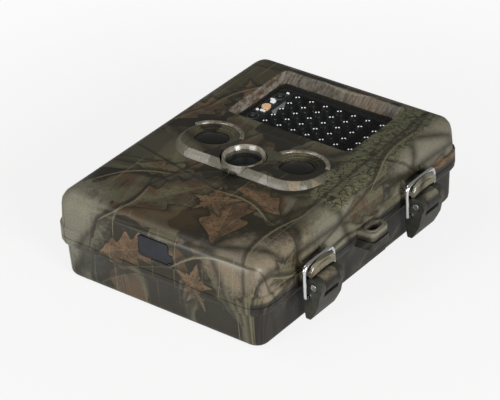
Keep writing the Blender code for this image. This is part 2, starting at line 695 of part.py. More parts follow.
def make_rear_shell(anchor):
    shell = place("rear_shell", rear_outer(), "case", anchor)
    inner = [
        case_section(REAR_WALL_INSET + SHELL_WALL / 2, SHELL_WALL),
        case_section(REAR_WALL_INSET, 3 * SHELL_WALL / 2),
        case_section(REAR_WALL_INSET, REAR_TOP + OVERLAP),
    ]
    cut(shell, loft(inner), "inside")
    for index, y in enumerate(LATCH_PLACES):
        add(shell, latch_knuckle(y), f"latch_knuckle_{index + 1}")
        hole = cylinder((LEVER_PIVOT_X, y, LEVER_PIVOT_Z), LATCH_PIN_RADIUS + SEAT_GAP, LEVER_WIDTH, ALONG_Y, 12)
        cut(shell, hole, f"latch_pin_hole_{index + 1}")
    rear_lug_top = REAR_TOP - SEAT_GAP / 2
    add(shell, extrusion([lug_outline(SEAT_GAP)], rear_lug_top - LUG_THICKNESS, rear_lug_top), "lug")
    cut(shell, extrusion([lug_slot()], PARTING_HEIGHT - 2 * LUG_THICKNESS, PARTING_HEIGHT), "lug_slot")
    add_hinge(shell, front=False)
    for side in (-1, 1):
        housing = box(
            around(side * STRAP_X, STRAP_POCKET_WIDTH + 2 * SHELL_WALL),
            around(0, STRAP_SLOT_LENGTH + 2 * SHELL_WALL),
            (SHELL_WALL / 2, STRAP_POCKET_DEPTH + SHELL_WALL),
        )
        label = "left" if side < 0 else "right"
        add(shell, housing, f"strap_housing_{label}")
        pocket, bar = strap_pocket(side)
        cut(shell, pocket, f"strap_pocket_{label}")
        add(shell, bar, f"strap_bar_{label}")
    boss_height = TRIPOD_INSERT_LENGTH + 2 * SEAT_GAP + SHELL_WALL
    add(shell, cylinder((0, 0, (SHELL_WALL / 2 + boss_height) / 2), TRIPOD_BOSS_RADIUS,
                        boss_height - SHELL_WALL / 2, segments=24), "tripod_boss")
    socket_depth = TRIPOD_INSERT_LENGTH + 2 * SEAT_GAP
    cut(shell, cylinder((0, 0, (socket_depth - OVERLAP) / 2), TRIPOD_INSERT_RADIUS + SEAT_GAP,
                        socket_depth + OVERLAP, segments=24), "tripod_socket")
    return shell


def make_tripod_insert(anchor):
    top = SEAT_GAP + TRIPOD_INSERT_LENGTH
    profile = [
        (TRIPOD_THREAD_RADIUS, top),
        (TRIPOD_INSERT_RADIUS, top),
        (TRIPOD_INSERT_RADIUS, SEAT_GAP),
        (TRIPOD_THREAD_RADIUS, SEAT_GAP),
    ]
    turned("tripod_insert", profile, "brass", anchor, (0, 0, 0), steps=24)


def bank_y(bank, distance):
    """A distance from the middle of the case into a bank, where bank is 1 for the upper and -1 for the lower."""
    return bank * (BANK_START + distance)


def bank_span(bank, start, end):
    low, high = sorted((bank_y(bank, start), bank_y(bank, end)))
    return (low, high)


def cell_x(index):
    return (index - (CELLS_PER_BANK - 1) / 2) * CELL_PITCH


def make_battery_tray(name, bank, anchor):
    """A moulded cradle with a saddle under each cell and a wall at each end."""
    width = (-TRAY_HALF_WIDTH, TRAY_HALF_WIDTH)
    body = box(width, bank_span(bank, 0, TRAY_LENGTH), (TRAY_BOTTOM, TRAY_BOTTOM + TRAY_END_HEIGHT))
    tray = place(name, body, "black", anchor)
    saddle_top = TRAY_BOTTOM + TRAY_SADDLE_HEIGHT
    inner = bank_span(bank, TRAY_WALL, TRAY_LENGTH - TRAY_WALL)
    cut(tray, box((-TRAY_HALF_WIDTH - OVERLAP, TRAY_HALF_WIDTH + OVERLAP), inner,
                  (saddle_top, saddle_top + TRAY_END_HEIGHT)), "open_top")
    middle = (inner[0] + inner[1]) / 2
    for index in range(CELLS_PER_BANK):
        saddle = cylinder((cell_x(index), middle, CELL_AXIS_Z), CELL_RADIUS + SEAT_GAP,
                          inner[1] - inner[0], ALONG_Y, 24)
        cut(tray, saddle, f"saddle_{index + 1}")
    for label, distance in (("inner", contact_distances()[0]), ("outer", contact_distances()[1])):
        way = bank_span(bank, distance - SEAT_GAP, distance + CONTACT_THICKNESS + SEAT_GAP)
        cut(tray, box(around(0, contact_width() + 2 * SEAT_GAP), way,
                      (CELL_AXIS_Z - CONTACT_HEIGHT / 2 - SEAT_GAP, saddle_top + TRAY_END_HEIGHT)),
            f"contact_way_{label}")


def contact_distances():
    """How far the inner and the outer contact strip lie from the inner end of a tray."""
    inner = TRAY_WALL + SEAT_GAP
    return inner, TRAY_LENGTH - inner - CONTACT_THICKNESS


def contact_width():
    return 2 * (TRAY_HALF_WIDTH - TRAY_SIDE)


def make_contact_strip(name, bank, distance, anchor):
    """A plated strip that joins the cells at one end of a bank."""
    y = bank_span(bank, distance, distance + CONTACT_THICKNESS)
    strip = box(around(0, contact_width()), y, around(CELL_AXIS_Z, CONTACT_HEIGHT))
    place(name, strip, "steel", anchor)


def make_cell(number, bank, index, anchor):
    """An AA cell; neighbours face opposite ways."""
    half = CELL_LENGTH / 2
    profile = [
        (0.0, half),
        (CELL_NUB_RADIUS, half),
        (CELL_NUB_RADIUS, half - CELL_NUB_HEIGHT),
        (CELL_RADIUS - CELL_SHOULDER, half - CELL_NUB_HEIGHT),
        (CELL_RADIUS, half - CELL_NUB_HEIGHT - CELL_SHOULDER),
        (CELL_RADIUS, -half + CELL_SHOULDER),
        (CELL_RADIUS - CELL_SHOULDER, -half),
        (0.0, -half),
    ]
    middle = bank_y(bank, TRAY_LENGTH / 2)
    facing = 1 if index % 2 else -1
    direction = Matrix.Rotation(-facing * math.pi / 2, 4, "X")
    turned(f"battery_{number}", profile, "cell", anchor, (cell_x(index), middle, CELL_AXIS_Z), direction, 16)


def make_batteries(anchor):
    number = 0
    for bank, place_name in ((-1, "lower"), (1, "upper")):
        make_battery_tray(f"battery_tray_{place_name}", bank, anchor)
        near, far = contact_distances()
        make_contact_strip(f"contact_strip_{place_name}_inner", bank, near, anchor)
        make_contact_strip(f"contact_strip_{place_name}_outer", bank, far, anchor)
        for index in range(CELLS_PER_BANK):
            number += 1
            make_cell(number, bank, index, anchor)


def make_pins(anchor):
    for index, y in enumerate(LATCH_PLACES):
        pin = cylinder((LEVER_PIVOT_X, y, LEVER_PIVOT_Z), LATCH_PIN_RADIUS, LEVER_WIDTH + SEAT_GAP, ALONG_Y, 12)
        place(f"latch_pin_{index + 1}", pin, "steel", anchor)
    pin = cylinder((HINGE_X, 0, HINGE_Z), HINGE_PIN_RADIUS, HINGE_LENGTH, ALONG_Y, 12)
    place("hinge_pin", pin, "steel", anchor)


# ---- Front case -------------------------------------------------------------------------------------
def front_outer():
    rim_top = FRONT_BOTTOM + FRONT_RIM_HEIGHT
    sections = [
        case_section(0, FRONT_BOTTOM),
        case_section(0, rim_top - RIM_STEP_HEIGHT),
        case_section(FRONT_RIM_STEP, rim_top),
    ]
    edge_z = CASE_DEPTH - FRONT_EDGE_RADIUS
    sections += rounded_edge(FRONT_RIM_STEP + FRONT_DRAFT, edge_z, FRONT_EDGE_RADIUS, 1)
    return loft(sections)


def front_inner():
    radius = FRONT_EDGE_RADIUS - SHELL_WALL
    sections = [case_section(FRONT_WALL_INSET, FRONT_BOTTOM - OVERLAP)]
    sections += rounded_edge(FRONT_WALL_INSET, CASE_DEPTH - SHELL_WALL - radius, radius, 1, 3)
    return loft(sections)


def plateau():
    """The wedge that carries the lens and the sensors: it rises towards its bevelled lower edge."""
    base_z = CASE_DEPTH - SHELL_WALL / 2
    outline = rounded_rectangle(
        (-PLATEAU_HALF_WIDTH, PLATEAU_HALF_WIDTH), (PLATEAU_LOW_Y, PLATEAU_HIGH_Y), PLATEAU_RADIUS, 8
    )
    top_half = PLATEAU_HALF_WIDTH - PLATEAU_BEVEL
    top = rounded_rectangle(
        (-top_half, top_half), (PLATEAU_LOW_Y + PLATEAU_BEVEL, PLATEAU_HIGH_Y), PLATEAU_RADIUS - PLATEAU_BEVEL / 2, 8
    )
    slope = PLATEAU_RISE / (PLATEAU_FADE_Y - PLATEAU_LOW_Y - PLATEAU_BEVEL)
    bevel_foot = [(x, y, CASE_DEPTH) for x, y in outline]
    crown = [(x, y, CASE_DEPTH + slope * (PLATEAU_FADE_Y - y)) for x, y in top]
    return loft([[(x, y, base_z) for x, y in outline], bevel_foot, crown])


def window_section(z, margin=0.0):
    """The lamp recess at a height: it widens towards the face, most of all at the far side."""
    share = (z - WINDOW_TOP) / (CASE_DEPTH - WINDOW_TOP)
    side = WINDOW_SIDE_SLOPE * share
    outline = rounded_rectangle(
        (WINDOW_LEFT - side - margin, WINDOW_RIGHT + side + margin),
        (WINDOW_LOW - side - margin, WINDOW_HIGH + WINDOW_FAR_SLOPE * share + margin),
        WINDOW_RADIUS,
    )
    return [(x, y, z) for x, y in outline]


def window_outline(margin):
    return [(x, y) for x, y, _ in window_section(WINDOW_TOP, margin)]


def add_keeper(shell, number, y):
    """The arched ledge that the latch wire pulls down on, with its lip and two gussets above it."""
    root_x = RIM_X - FRONT_WALL_INSET + OVERLAP
    outer = KEEPER_LIP_X + KEEPER_LIP
    under = KEEPER_TOP_Z - KEEPER_CROWN - KEEPER_PLATE
    sections = []
    for step in range(KEEPER_STATIONS + 1):
        across = 2 * step / KEEPER_STATIONS - 1
        top = KEEPER_TOP_Z - KEEPER_CROWN * across * across
        bottom = KEEPER_BOTTOM_Z + KEEPER_ARCH * (1 - across * across)
        place_y = y + across * KEEPER_LENGTH / 2
        profile = (
            (root_x, under),
            (KEEPER_LIP_X, under),
            (KEEPER_LIP_X, bottom),
            (outer, bottom),
            (outer, top - SEAT_GAP),
            (outer - SEAT_GAP, top),
            (root_x, top),
        )
        sections.append([(x, place_y, z) for x, z in profile])
    add(shell, loft(sections), f"keeper_{number}")
    gusset_reach = BAIL_BAR_X - BAIL_WIRE_RADIUS - SEAT_GAP
    foot = KEEPER_TOP_Z - KEEPER_PLATE
    outline = [
        (root_x, foot),
        (gusset_reach, foot),
        (gusset_reach, KEEPER_TOP_Z),
        (RIM_X - FRONT_RIM_STEP, KEEPER_TOP_Z + GUSSET_HEIGHT),
        (root_x, KEEPER_TOP_Z + GUSSET_HEIGHT),
    ]
    for index, side in enumerate((-1, 1)):
        gusset_y = y + side * GUSSET_SPACING / 2
        half = GUSSET_THICKNESS / 2
        add(shell, extrusion([outline], -gusset_y - half, -gusset_y + half, PLANE_XZ), f"gusset_{number}_{index + 1}")


def add_hood(shell, side):
    """The brow over a sensor port: a round ridge bent through an arc."""
    centre = Vector((side * PORT_SPACING / 2, PORT_Y, CASE_DEPTH + PLATEAU_RISE / 2))
    points = []
    steps = 14
    for step in range(steps + 1):
        angle = HOOD_START + (HOOD_END - HOOD_START) * step / steps
        points.append(centre + HOOD_RADIUS * Vector((math.cos(angle), math.sin(angle), 0)))
    label = "left" if side < 0 else "right"
    add(shell, wire(points, HOOD_THICKNESS), f"hood_{label}")


def cut_port(shell, side):
    """A stepped sensor port, with a wider seat behind it for the sensor window."""
    x = side * PORT_SPACING / 2
    label = "left" if side < 0 else "right"
    top = CASE_DEPTH + PLATEAU_RISE + OVERLAP
    slope = PLATEAU_RISE / (PLATEAU_FADE_Y - PLATEAU_LOW_Y - PLATEAU_BEVEL)
    face = CASE_DEPTH + slope * (PLATEAU_FADE_Y - PORT_Y)
    step_z = face - PORT_STEP_DEPTH
    cut(shell, cylinder((x, PORT_Y, (top + step_z) / 2), PORT_RADIUS + PORT_STEP, top - step_z, segments=32),
        f"port_step_{label}")
    cut(shell, cylinder((x, PORT_Y, top / 2), PORT_RADIUS, top, segments=32), f"port_{label}")
    seat = PORT_WINDOW_TOP + SEAT_GAP
    low = seat - 2 * SHELL_WALL
    cut(shell, cylinder((x, PORT_Y, (seat + low) / 2), PORT_RADIUS + PORT_WINDOW_LIP + SEAT_GAP, seat - low,
                        segments=32), f"port_seat_{label}")


def cut_lens_opening(shell):
    top = LENS_RING_TOP + OVERLAP
    seat = LENS_RING_SEAT - SEAT_GAP
    cut(shell, cylinder((0, LENS_Y, (top + seat) / 2), LENS_RING_RADIUS + SEAT_GAP, top - seat, segments=32),
        "lens_seat")
    cut(shell, cylinder((0, LENS_Y, top / 2), LENS_GLASS_RADIUS + 2 * SEAT_GAP, top, segments=32), "lens_hole")


def add_lamp_housing(shell):
    """The skirt behind the face that the lamp recess is sunk into, with its ledge and four board posts."""
    top = CASE_DEPTH - SHELL_WALL / 2
    add(shell, extrusion([window_outline(SHELL_WALL)], HOUSING_BOTTOM, top), "lamp_housing")
    board_x, board_y = lamp_board_spans()
    for index, (x, y) in enumerate(corners_of(board_x, board_y, LAMP_POST_INSET)):
        low = LAMP_BOARD_TOP + SEAT_GAP
        add(shell, cylinder((x, y, (top + low) / 2), LAMP_POST_RADIUS, top - low, segments=12),
            f"lamp_post_{index + 1}")
    cut(shell, loft([window_section(WINDOW_TOP), window_section(CASE_DEPTH + OVERLAP)]), "lamp_recess")
    cut(shell, extrusion([window_outline(0)], LEDGE_Z, WINDOW_TOP + SMALL), "pane_seat")
    cut(shell, extrusion([window_outline(-WINDOW_LEDGE)], HOUSING_BOTTOM - OVERLAP, WINDOW_TOP), "lamp_opening")


def add_inlet_pad(shell):
    """A thicker stretch of the lower wall, cut for the rubber cover and the power socket."""
    inner_y = POCKET_FLOOR_Y + INLET_PAD
    wall_y = FRONT_WALL_Y + OVERLAP
    half = COVER_WIDTH / 2 + SHELL_WALL
    z = around(COVER_Z, COVER_HEIGHT + 2 * SHELL_WALL)
    low = max(z[0], FRONT_BOTTOM + PANEL_LIFT + PANEL_THICKNESS + SEAT_GAP)
    add(shell, box((-half, half + COVER_TAB_WIDTH), (wall_y, inner_y), (low, z[1])), "inlet_pad")
    gap = SEAT_GAP
    pocket = rounded_rectangle(
        around(0, COVER_WIDTH + 2 * gap), around(COVER_Z, COVER_HEIGHT + 2 * gap), COVER_CORNER + gap, 3
    )
    cut(shell, extrusion([pocket], -POCKET_FLOOR_Y, -FRONT_WALL_Y + 2 * OVERLAP, PLANE_XZ), "cover_pocket")
    tab_z = COVER_Z - COVER_TAB_DROP
    cut(shell, box((0, COVER_WIDTH / 2 + COVER_TAB_WIDTH + gap), (FRONT_WALL_Y - OVERLAP, POCKET_FLOOR_Y),
                   around(tab_z, COVER_TAB_HEIGHT + 2 * gap)), "cover_tab_pocket")
    cut(shell, cylinder((0, inner_y, COVER_Z), INLET_RADIUS, 4 * INLET_PAD, ALONG_Y, 20), "inlet_hole")
    cut(shell, box(around(0, JACK_WIDTH + 2 * gap), (JACK_FRONT_Y - gap, inner_y + OVERLAP),
                   around(COVER_Z, JACK_HEIGHT + 2 * gap)), "jack_pocket")


def corners_of(x, y, inset):
    return [(cx, cy) for cx in (x[0] + inset, x[1] - inset) for cy in (y[0] + inset, y[1] - inset)]


def lamp_board_spans():
    return (WINDOW_LEFT, WINDOW_RIGHT), (WINDOW_LOW, WINDOW_HIGH)


def panel_corners():
    inset = FRONT_WALL_INSET + PANEL_BOSS_INSET
    return corners_of(around(0, CASE_WIDTH), around(0, CASE_HEIGHT), inset)


def make_front_shell(anchor):
    shell = place("front_shell", front_outer(), "case", anchor)
    add(shell, plateau(), "plateau")
    cut(shell, front_inner(), "inside")
    boss_low = PANEL_BACK_Z + SEAT_GAP
    boss_high = CASE_DEPTH - SHELL_WALL / 2
    for index, (x, y) in enumerate(panel_corners()):
        boss = cylinder((x, y, (boss_low + boss_high) / 2), PANEL_BOSS_RADIUS, boss_high - boss_low, segments=12)
        add(shell, boss, f"panel_boss_{index + 1}")
    add_lamp_housing(shell)
    for index, y in enumerate(LATCH_PLACES):
        add_keeper(shell, index + 1, y)
    front_lug_low = FRONT_BOTTOM + SEAT_GAP / 2
    lug_top = front_lug_low + LUG_THICKNESS
    add(shell, extrusion([lug_outline()], front_lug_low, lug_top), "lug")
    add(shell, extrusion([lug_slot(LUG_COLLAR_WIDTH)], lug_top - OVERLAP, lug_top + LUG_COLLAR_HEIGHT), "lug_collar")
    cut(shell, extrusion([lug_slot()], PARTING_HEIGHT, PARTING_HEIGHT + 2 * LUG_THICKNESS), "lug_slot")
    add_hinge(shell, front=True)
    for side in (-1, 1):
        add_hood(shell, side)
        cut_port(shell, side)
    cut_lens_opening(shell)
    cut(shell, cylinder((0, MICROPHONE_Y, CASE_DEPTH), MICROPHONE_RADIUS, 4 * SHELL_WALL, segments=8), "microphone")
    add_inlet_pad(shell)
    groove_outer = case_section(SEAL_GROOVE_INSET, 0)
    groove_inner = case_section(SEAL_GROOVE_INSET + SEAL_GROOVE_WIDTH, 0)
    groove = extrusion([[p[:2] for p in groove_outer], [p[:2] for p in groove_inner]],
                       FRONT_BOTTOM - OVERLAP, FRONT_BOTTOM + SEAL_GROOVE_DEPTH)
    cut(shell, groove, "seal_groove")


def make_seal(anchor):
    outer = case_section(SEAL_GROOVE_INSET + SEAT_GAP, 0)
    inner = case_section(SEAL_GROOVE_INSET + SEAL_GROOVE_WIDTH - SEAT_GAP, 0)
    ring = extrusion([[p[:2] for p in outer], [p[:2] for p in inner]],
                     FRONT_BOTTOM + SEAT_GAP / 2, FRONT_BOTTOM + SEAL_GROOVE_DEPTH - SEAT_GAP)
    place("case_seal", ring, "seal", anchor)


def make_lens(anchor):
    glass_bottom = LENS_GLASS_TOP - LENS_GLASS_THICKNESS
    seat = glass_bottom - SEAT_GAP
    bore = LENS_GLASS_RADIUS + SEAT_GAP
    shoulder = LENS_GLASS_RADIUS - 4 * SEAT_GAP
    crest = LENS_RING_RADIUS - SHELL_WALL / 2
    profile = [
        (bore + SEAT_GAP * 2, LENS_RING_TOP),
        (crest, LENS_RING_TOP),
        (LENS_RING_RADIUS, LENS_RING_TOP - SHELL_WALL / 2),
        (LENS_RING_RADIUS, LENS_RING_SEAT),
        (shoulder, LENS_RING_SEAT),
        (shoulder, seat),
        (bore, seat),
        (bore, LENS_GLASS_TOP + SEAT_GAP),
    ]
    turned("lens_ring", profile, "black", anchor, (0, LENS_Y, 0), steps=32)
    glass = [
        (0.0, LENS_GLASS_TOP),
        (LENS_GLASS_FLAT, LENS_GLASS_TOP - SEAT_GAP / 3),
        (LENS_GLASS_RADIUS, LENS_GLASS_TOP - SEAT_GAP),
        (LENS_GLASS_RADIUS, glass_bottom),
        (0.0, glass_bottom),
    ]
    turned("lens_glass", glass, "glass", anchor, (0, LENS_Y, 0), steps=32)
    low = MAIN_BOARD_TOP + SEAT_GAP
    high = seat - SEAT_GAP - SHELL_WALL / 2
    waist = low + (high - low) * LENS_BARREL_WAIST
    barrel = [
        (0.0, high - SHELL_WALL / 2),
        (LENS_BARREL_MOUTH, high - SHELL_WALL / 2),
        (LENS_BARREL_RADIUS - SHELL_WALL / 3, high),
        (LENS_BARREL_RADIUS, high),
        (LENS_BARREL_RADIUS, waist),
        (LENS_BARREL_RADIUS + SHELL_WALL / 2, waist),
        (LENS_BARREL_RADIUS + SHELL_WALL / 2, low),
        (0.0, low),
    ]
    turned("lens_barrel", barrel, "black", anchor, (0, LENS_Y, 0), steps=24)


def make_sensor(side, anchor):
    label = "left" if side < 0 else "right"
    x = side * PORT_SPACING / 2
    flange = PORT_RADIUS + PORT_WINDOW_LIP
    low = PORT_WINDOW_TOP - PORT_WINDOW_THICKNESS
    dome_edge = PORT_RADIUS - SEAT_GAP
    dome = [(0.0, PORT_WINDOW_TOP + PORT_WINDOW_DOME)]
    for step in (1, 2, 3):
        share = step / 3
        dome.append((dome_edge * share, PORT_WINDOW_TOP + PORT_WINDOW_DOME * (1 - share * share)))
    window = dome + [(flange, PORT_WINDOW_TOP), (flange, low), (0.0, low)]
    turned(f"sensor_window_{label}", window, "sensor", anchor, (x, PORT_Y, 0), steps=32)
    base = MAIN_BOARD_TOP + SEAT_GAP
    can_top = low - SENSOR_CAN_CLEARANCE
    can = [
        (0.0, can_top),
        (SENSOR_CAN_RADIUS - SEAT_GAP, can_top),
        (SENSOR_CAN_RADIUS - SEAT_GAP, base + 2 * SEAT_GAP),
        (SENSOR_CAN_RADIUS, base + 2 * SEAT_GAP),
        (SENSOR_CAN_RADIUS, base),
        (0.0, base),
    ]
    turned(f"sensor_can_{label}", can, "steel", anchor, (x, PORT_Y, 0), steps=20)


def make_lamp_window(anchor):
    pane = extrusion([window_outline(-SEAT_GAP)], WINDOW_TOP - WINDOW_THICKNESS, WINDOW_TOP)
    place("lamp_window", pane, "glass", anchor)


def make_lamp_board(anchor):
    """The board behind the window, with every infrared lamp on it as a cylinder under a dome."""
    x, y = lamp_board_spans()
    board = place("lamp_board", box(x, y, (LAMP_BOARD_TOP - BOARD_THICKNESS, LAMP_BOARD_TOP)), "lamp", anchor)
    lamps = []
    dome = LAMP_RADIUS
    for column in range(LAMP_COLUMNS):
        lamp_x = LAMP_FIELD_X + (column - (LAMP_COLUMNS - 1) / 2) * LAMP_COLUMN_PITCH
        for row in range(LAMP_ROWS):
            lamp_y = LAMP_FIELD_Y + (row - (LAMP_ROWS - 1) / 2) * LAMP_ROW_PITCH
            lamps.append(lamp_solid(lamp_x, lamp_y, dome))
    add(board, merged(*lamps), "lamps")


def lamp_solid(x, y, dome):
    """One lamp: its base is sunk into the board so that the two become one body."""
    base = LAMP_BOARD_TOP - BOARD_THICKNESS / 2
    sections = []
    for radius, z in (
        (LAMP_RADIUS, base),
        (LAMP_RADIUS, LAMP_TOP_Z - dome),
        (LAMP_RADIUS * math.cos(math.radians(40)), LAMP_TOP_Z - dome + dome * math.sin(math.radians(40))),
        (LAMP_RADIUS * math.cos(math.radians(75)), LAMP_TOP_Z),
    ):
        sections.append(
            [(x + radius * math.cos(math.tau * i / 10), y + radius * math.sin(math.tau * i / 10), z) for i in range(10)]
        )
    return loft(sections)


def make_light_strip(anchor):
    """What lies left of the lamps behind the window: a baffle, two round sensors, a light cell and a lamp."""
    low = LAMP_BOARD_TOP + SEAT_GAP
    high = LAMP_TOP_Z
    baffle = box(around(BAFFLE_X, BAFFLE_THICKNESS),
                 (WINDOW_LOW + WINDOW_LEDGE + SEAT_GAP, WINDOW_HIGH - WINDOW_LEDGE - SEAT_GAP), (low, high))
    place("light_baffle", baffle, "black", anchor)
    strip_x = WINDOW_LEFT + WINDOW_LEDGE + STRIP_SENSOR_RADIUS + SEAT_GAP / 2
    middle_y = (WINDOW_LOW + WINDOW_HIGH) / 2
    top = high - SEAT_GAP
    for label, side in (("lower", -1), ("upper", 1)):
        profile = [
            (0.0, top),
            (STRIP_SENSOR_RADIUS - STRIP_SENSOR_ROUND, top),
            (STRIP_SENSOR_RADIUS, top - STRIP_SENSOR_ROUND),
            (STRIP_SENSOR_RADIUS, low),
            (0.0, low),
        ]
        turned(f"light_sensor_{label}", profile, "black", anchor,
               (strip_x, middle_y + side * STRIP_SENSOR_SPREAD / 2, 0), steps=16)
    profile = [(0.0, top), (LIGHT_CELL_RADIUS, top), (LIGHT_CELL_RADIUS, low), (0.0, low)]
    turned("light_cell", profile, "gold", anchor, (strip_x, middle_y, 0), steps=16)
    lamp_y = middle_y + STRIP_SENSOR_SPREAD / 4
    place("indicator_lamp", box(around(strip_x, INDICATOR_WIDTH), around(lamp_y, INDICATOR_WIDTH), (low, top)),
          "key", anchor)


# ---- Inside of the front case -----------------------------------------------------------------------
def key_places():
    """Name and place of each key of the five-way pad."""
    steps = {"ok": (0, 0), "up": (0, 1), "down": (0, -1), "left": (-1, 0), "right": (1, 0)}
    return {name: (KEY_PAD_X + KEY_PITCH * x, KEY_PAD_Y + KEY_PITCH * y) for name, (x, y) in steps.items()}


def circle(x, y, radius, segments=20):
    return [
        (x + radius * math.cos(math.tau * i / segments), y + radius * math.sin(math.tau * i / segments))
        for i in range(segments)
    ]


def make_inner_panel(anchor):
    """The moulded panel seen when the case is open, with posts behind it for the main board."""
    inset = FRONT_WALL_INSET + SEAT_GAP
    outline = [p[:2] for p in case_section(inset, 0)]
    screen = rounded_rectangle(around(SCREEN_X, SCREEN_WIDTH), around(SCREEN_Y, SCREEN_HEIGHT), SCREEN_BORDER / 3, 2)
    port = rounded_rectangle(around(DATA_PORT_X, DATA_PORT_WIDTH + 2 * SEAT_GAP),
                             around(BAY_Y, DATA_PORT_LENGTH + 2 * SEAT_GAP), SCREEN_BORDER / 6, 2)
    slot = rounded_rectangle(
        around(SWITCH_X, SWITCH_WIDTH + 2 * SEAT_GAP),
        (SWITCH_Y - SWITCH_LENGTH / 2 - SEAT_GAP, SWITCH_Y + SWITCH_LENGTH / 2 + SWITCH_TRAVEL + SEAT_GAP),
        SCREEN_BORDER / 5,
        2,
    )
    holes = [circle(x, y, KEY_RADIUS + SEAT_GAP) for x, y in key_places().values()]
    plate = extrusion([outline, screen, port, slot] + holes, PANEL_Z, PANEL_BACK_Z)
    panel = place("inner_panel", plate, "black", anchor)
    top = MAIN_BOARD_Z - SEAT_GAP
    board_x, board_y = main_board_spans()
    for index, (x, y) in enumerate(corners_of(board_x, board_y, BOARD_POST_INSET)):
        base = PANEL_Z + PANEL_THICKNESS / 2
        add(panel, cylinder((x, y, (base + top) / 2), BOARD_POST_RADIUS, top - base, segments=12),
            f"board_post_{index + 1}")
    add_card_bay(panel)


def bay_top():
    return PANEL_Z + BAY_DEPTH


def card_slot_spans():
    """Where the card slot lies: its mouth stands a little way into the bay."""
    mouth_y = BAY_Y + BAY_LENGTH / 2 - CARD_MOUTH
    low = PANEL_BACK_Z + SEAT_GAP
    return around(BAY_X, CARD_SLOT_WIDTH), (mouth_y, mouth_y + CARD_SLOT_LENGTH), (low, low + CARD_SLOT_HEIGHT)


def add_card_bay(panel):
    """A pocket in the panel with room for a finger and a card, and a window in its wall for the card slot."""
    x, y = around(BAY_X, BAY_WIDTH), around(BAY_Y, BAY_LENGTH)
    outer = rounded_rectangle(around(BAY_X, BAY_WIDTH + 2 * BAY_WALL), around(BAY_Y, BAY_LENGTH + 2 * BAY_WALL),
                              2 * BAY_WALL, 3)
    add(panel, extrusion([outer], PANEL_Z + BAY_WALL / 2, bay_top() + BAY_WALL), "bay")
    cut(panel, extrusion([rounded_rectangle(x, y, BAY_WALL, 3)], PANEL_Z - OVERLAP, bay_top()), "bay_hollow")
    slot_x, slot_y, slot_z = card_slot_spans()
    gap = SEAT_GAP
    window = box((slot_x[0] - gap, slot_x[1] + gap), (slot_y[0] - gap, slot_y[0] + 2 * BAY_WALL + CARD_MOUTH),
                 (slot_z[0] - gap, slot_z[1] + gap))
    cut(panel, window, "card_window")


def main_board_spans():
    return around(0, MAIN_BOARD_WIDTH), (MAIN_BOARD_LOW, MAIN_BOARD_HIGH)


def make_boards(anchor):
    x, y = main_board_spans()
    place("main_board", box(x, y, (MAIN_BOARD_Z, MAIN_BOARD_TOP)), "board", anchor)


def make_screen(anchor):
    gap = SEAT_GAP
    face = box(around(SCREEN_X, SCREEN_WIDTH - 2 * gap), around(SCREEN_Y, SCREEN_HEIGHT - 2 * gap),
               (PANEL_Z + gap, PANEL_BACK_Z + gap + OVERLAP))
    screen = place("screen", face, "screen", anchor)
    back = box(around(SCREEN_X, SCREEN_WIDTH + 2 * SCREEN_BORDER), around(SCREEN_Y, SCREEN_HEIGHT + 2 * SCREEN_BORDER),
               (PANEL_BACK_Z + gap, SCREEN_BACK_Z))
    add(screen, back, "back")


def make_keys(anchors):
    for name, (x, y) in key_places().items():
        face = PANEL_Z - KEY_PROUD
        flange_z = PANEL_BACK_Z + SEAT_GAP
        profile = [
            (0.0, flange_z + KEY_FLANGE),
            (KEY_RADIUS + 2 * SEAT_GAP + KEY_FLANGE, flange_z + KEY_FLANGE),
            (KEY_RADIUS + 2 * SEAT_GAP + KEY_FLANGE, flange_z),
            (KEY_RADIUS, flange_z),
            (KEY_RADIUS, face + SEAT_GAP),
            (KEY_RADIUS - SEAT_GAP, face),
            (0.0, face),
        ]
        turned(f"key_{name}", profile, "key", anchors[name], (x, y, 0), steps=20)


def make_switch(anchor):
    knob = box(around(SWITCH_X, SWITCH_WIDTH), around(SWITCH_Y, SWITCH_LENGTH),
               (PANEL_Z - SWITCH_PROUD, PANEL_BACK_Z + SEAT_GAP + KEY_FLANGE / 2))
    switch = place("power_switch", knob, "key", anchor)
    base = box(around(SWITCH_X, SWITCH_WIDTH + 4 * SEAT_GAP + OVERLAP), around(SWITCH_Y, SWITCH_LENGTH + 2 * OVERLAP),
               (PANEL_BACK_Z + SEAT_GAP, PANEL_BACK_Z + SEAT_GAP + KEY_FLANGE))
    add(switch, base, "base")


def make_ports(anchor):
    """The card slot, whose mouth faces the bay, and the data port, whose mouth faces out of the panel."""
    x, y, z = card_slot_spans()
    card = place("card_slot", box(x, y, z), "steel", anchor)
    cut(card, box(around(BAY_X, CARD_WIDTH), (y[0] - OVERLAP, y[1] - OVERLAP),
                  around((z[0] + z[1]) / 2, CARD_THICKNESS)), "card_way")
    low = PANEL_Z + SEAT_GAP
    port = place("data_port", box(around(DATA_PORT_X, DATA_PORT_WIDTH), around(BAY_Y, DATA_PORT_LENGTH),
                                  (low, low + DATA_PORT_HEIGHT)), "steel", anchor)
    cut(port, box(around(DATA_PORT_X, DATA_MOUTH_WIDTH), around(BAY_Y, DATA_MOUTH_LENGTH),
                  (low - OVERLAP, low + DATA_MOUTH_DEPTH)), "mouth")


def make_jack(anchor):
    body = box(around(0, JACK_WIDTH), (JACK_FRONT_Y, JACK_FRONT_Y + JACK_LENGTH), around(COVER_Z, JACK_HEIGHT))
    jack = place("power_jack", body, "black", anchor)
    cut(jack, cylinder((0, JACK_FRONT_Y, COVER_Z), JACK_BORE_RADIUS, 2 * JACK_DEPTH, ALONG_Y, 20), "bore")
    pin_length = JACK_DEPTH
    add(jack, cylinder((0, JACK_FRONT_Y + OVERLAP + pin_length / 2, COVER_Z), JACK_PIN_RADIUS, pin_length,
                       ALONG_Y, 10), "pin")


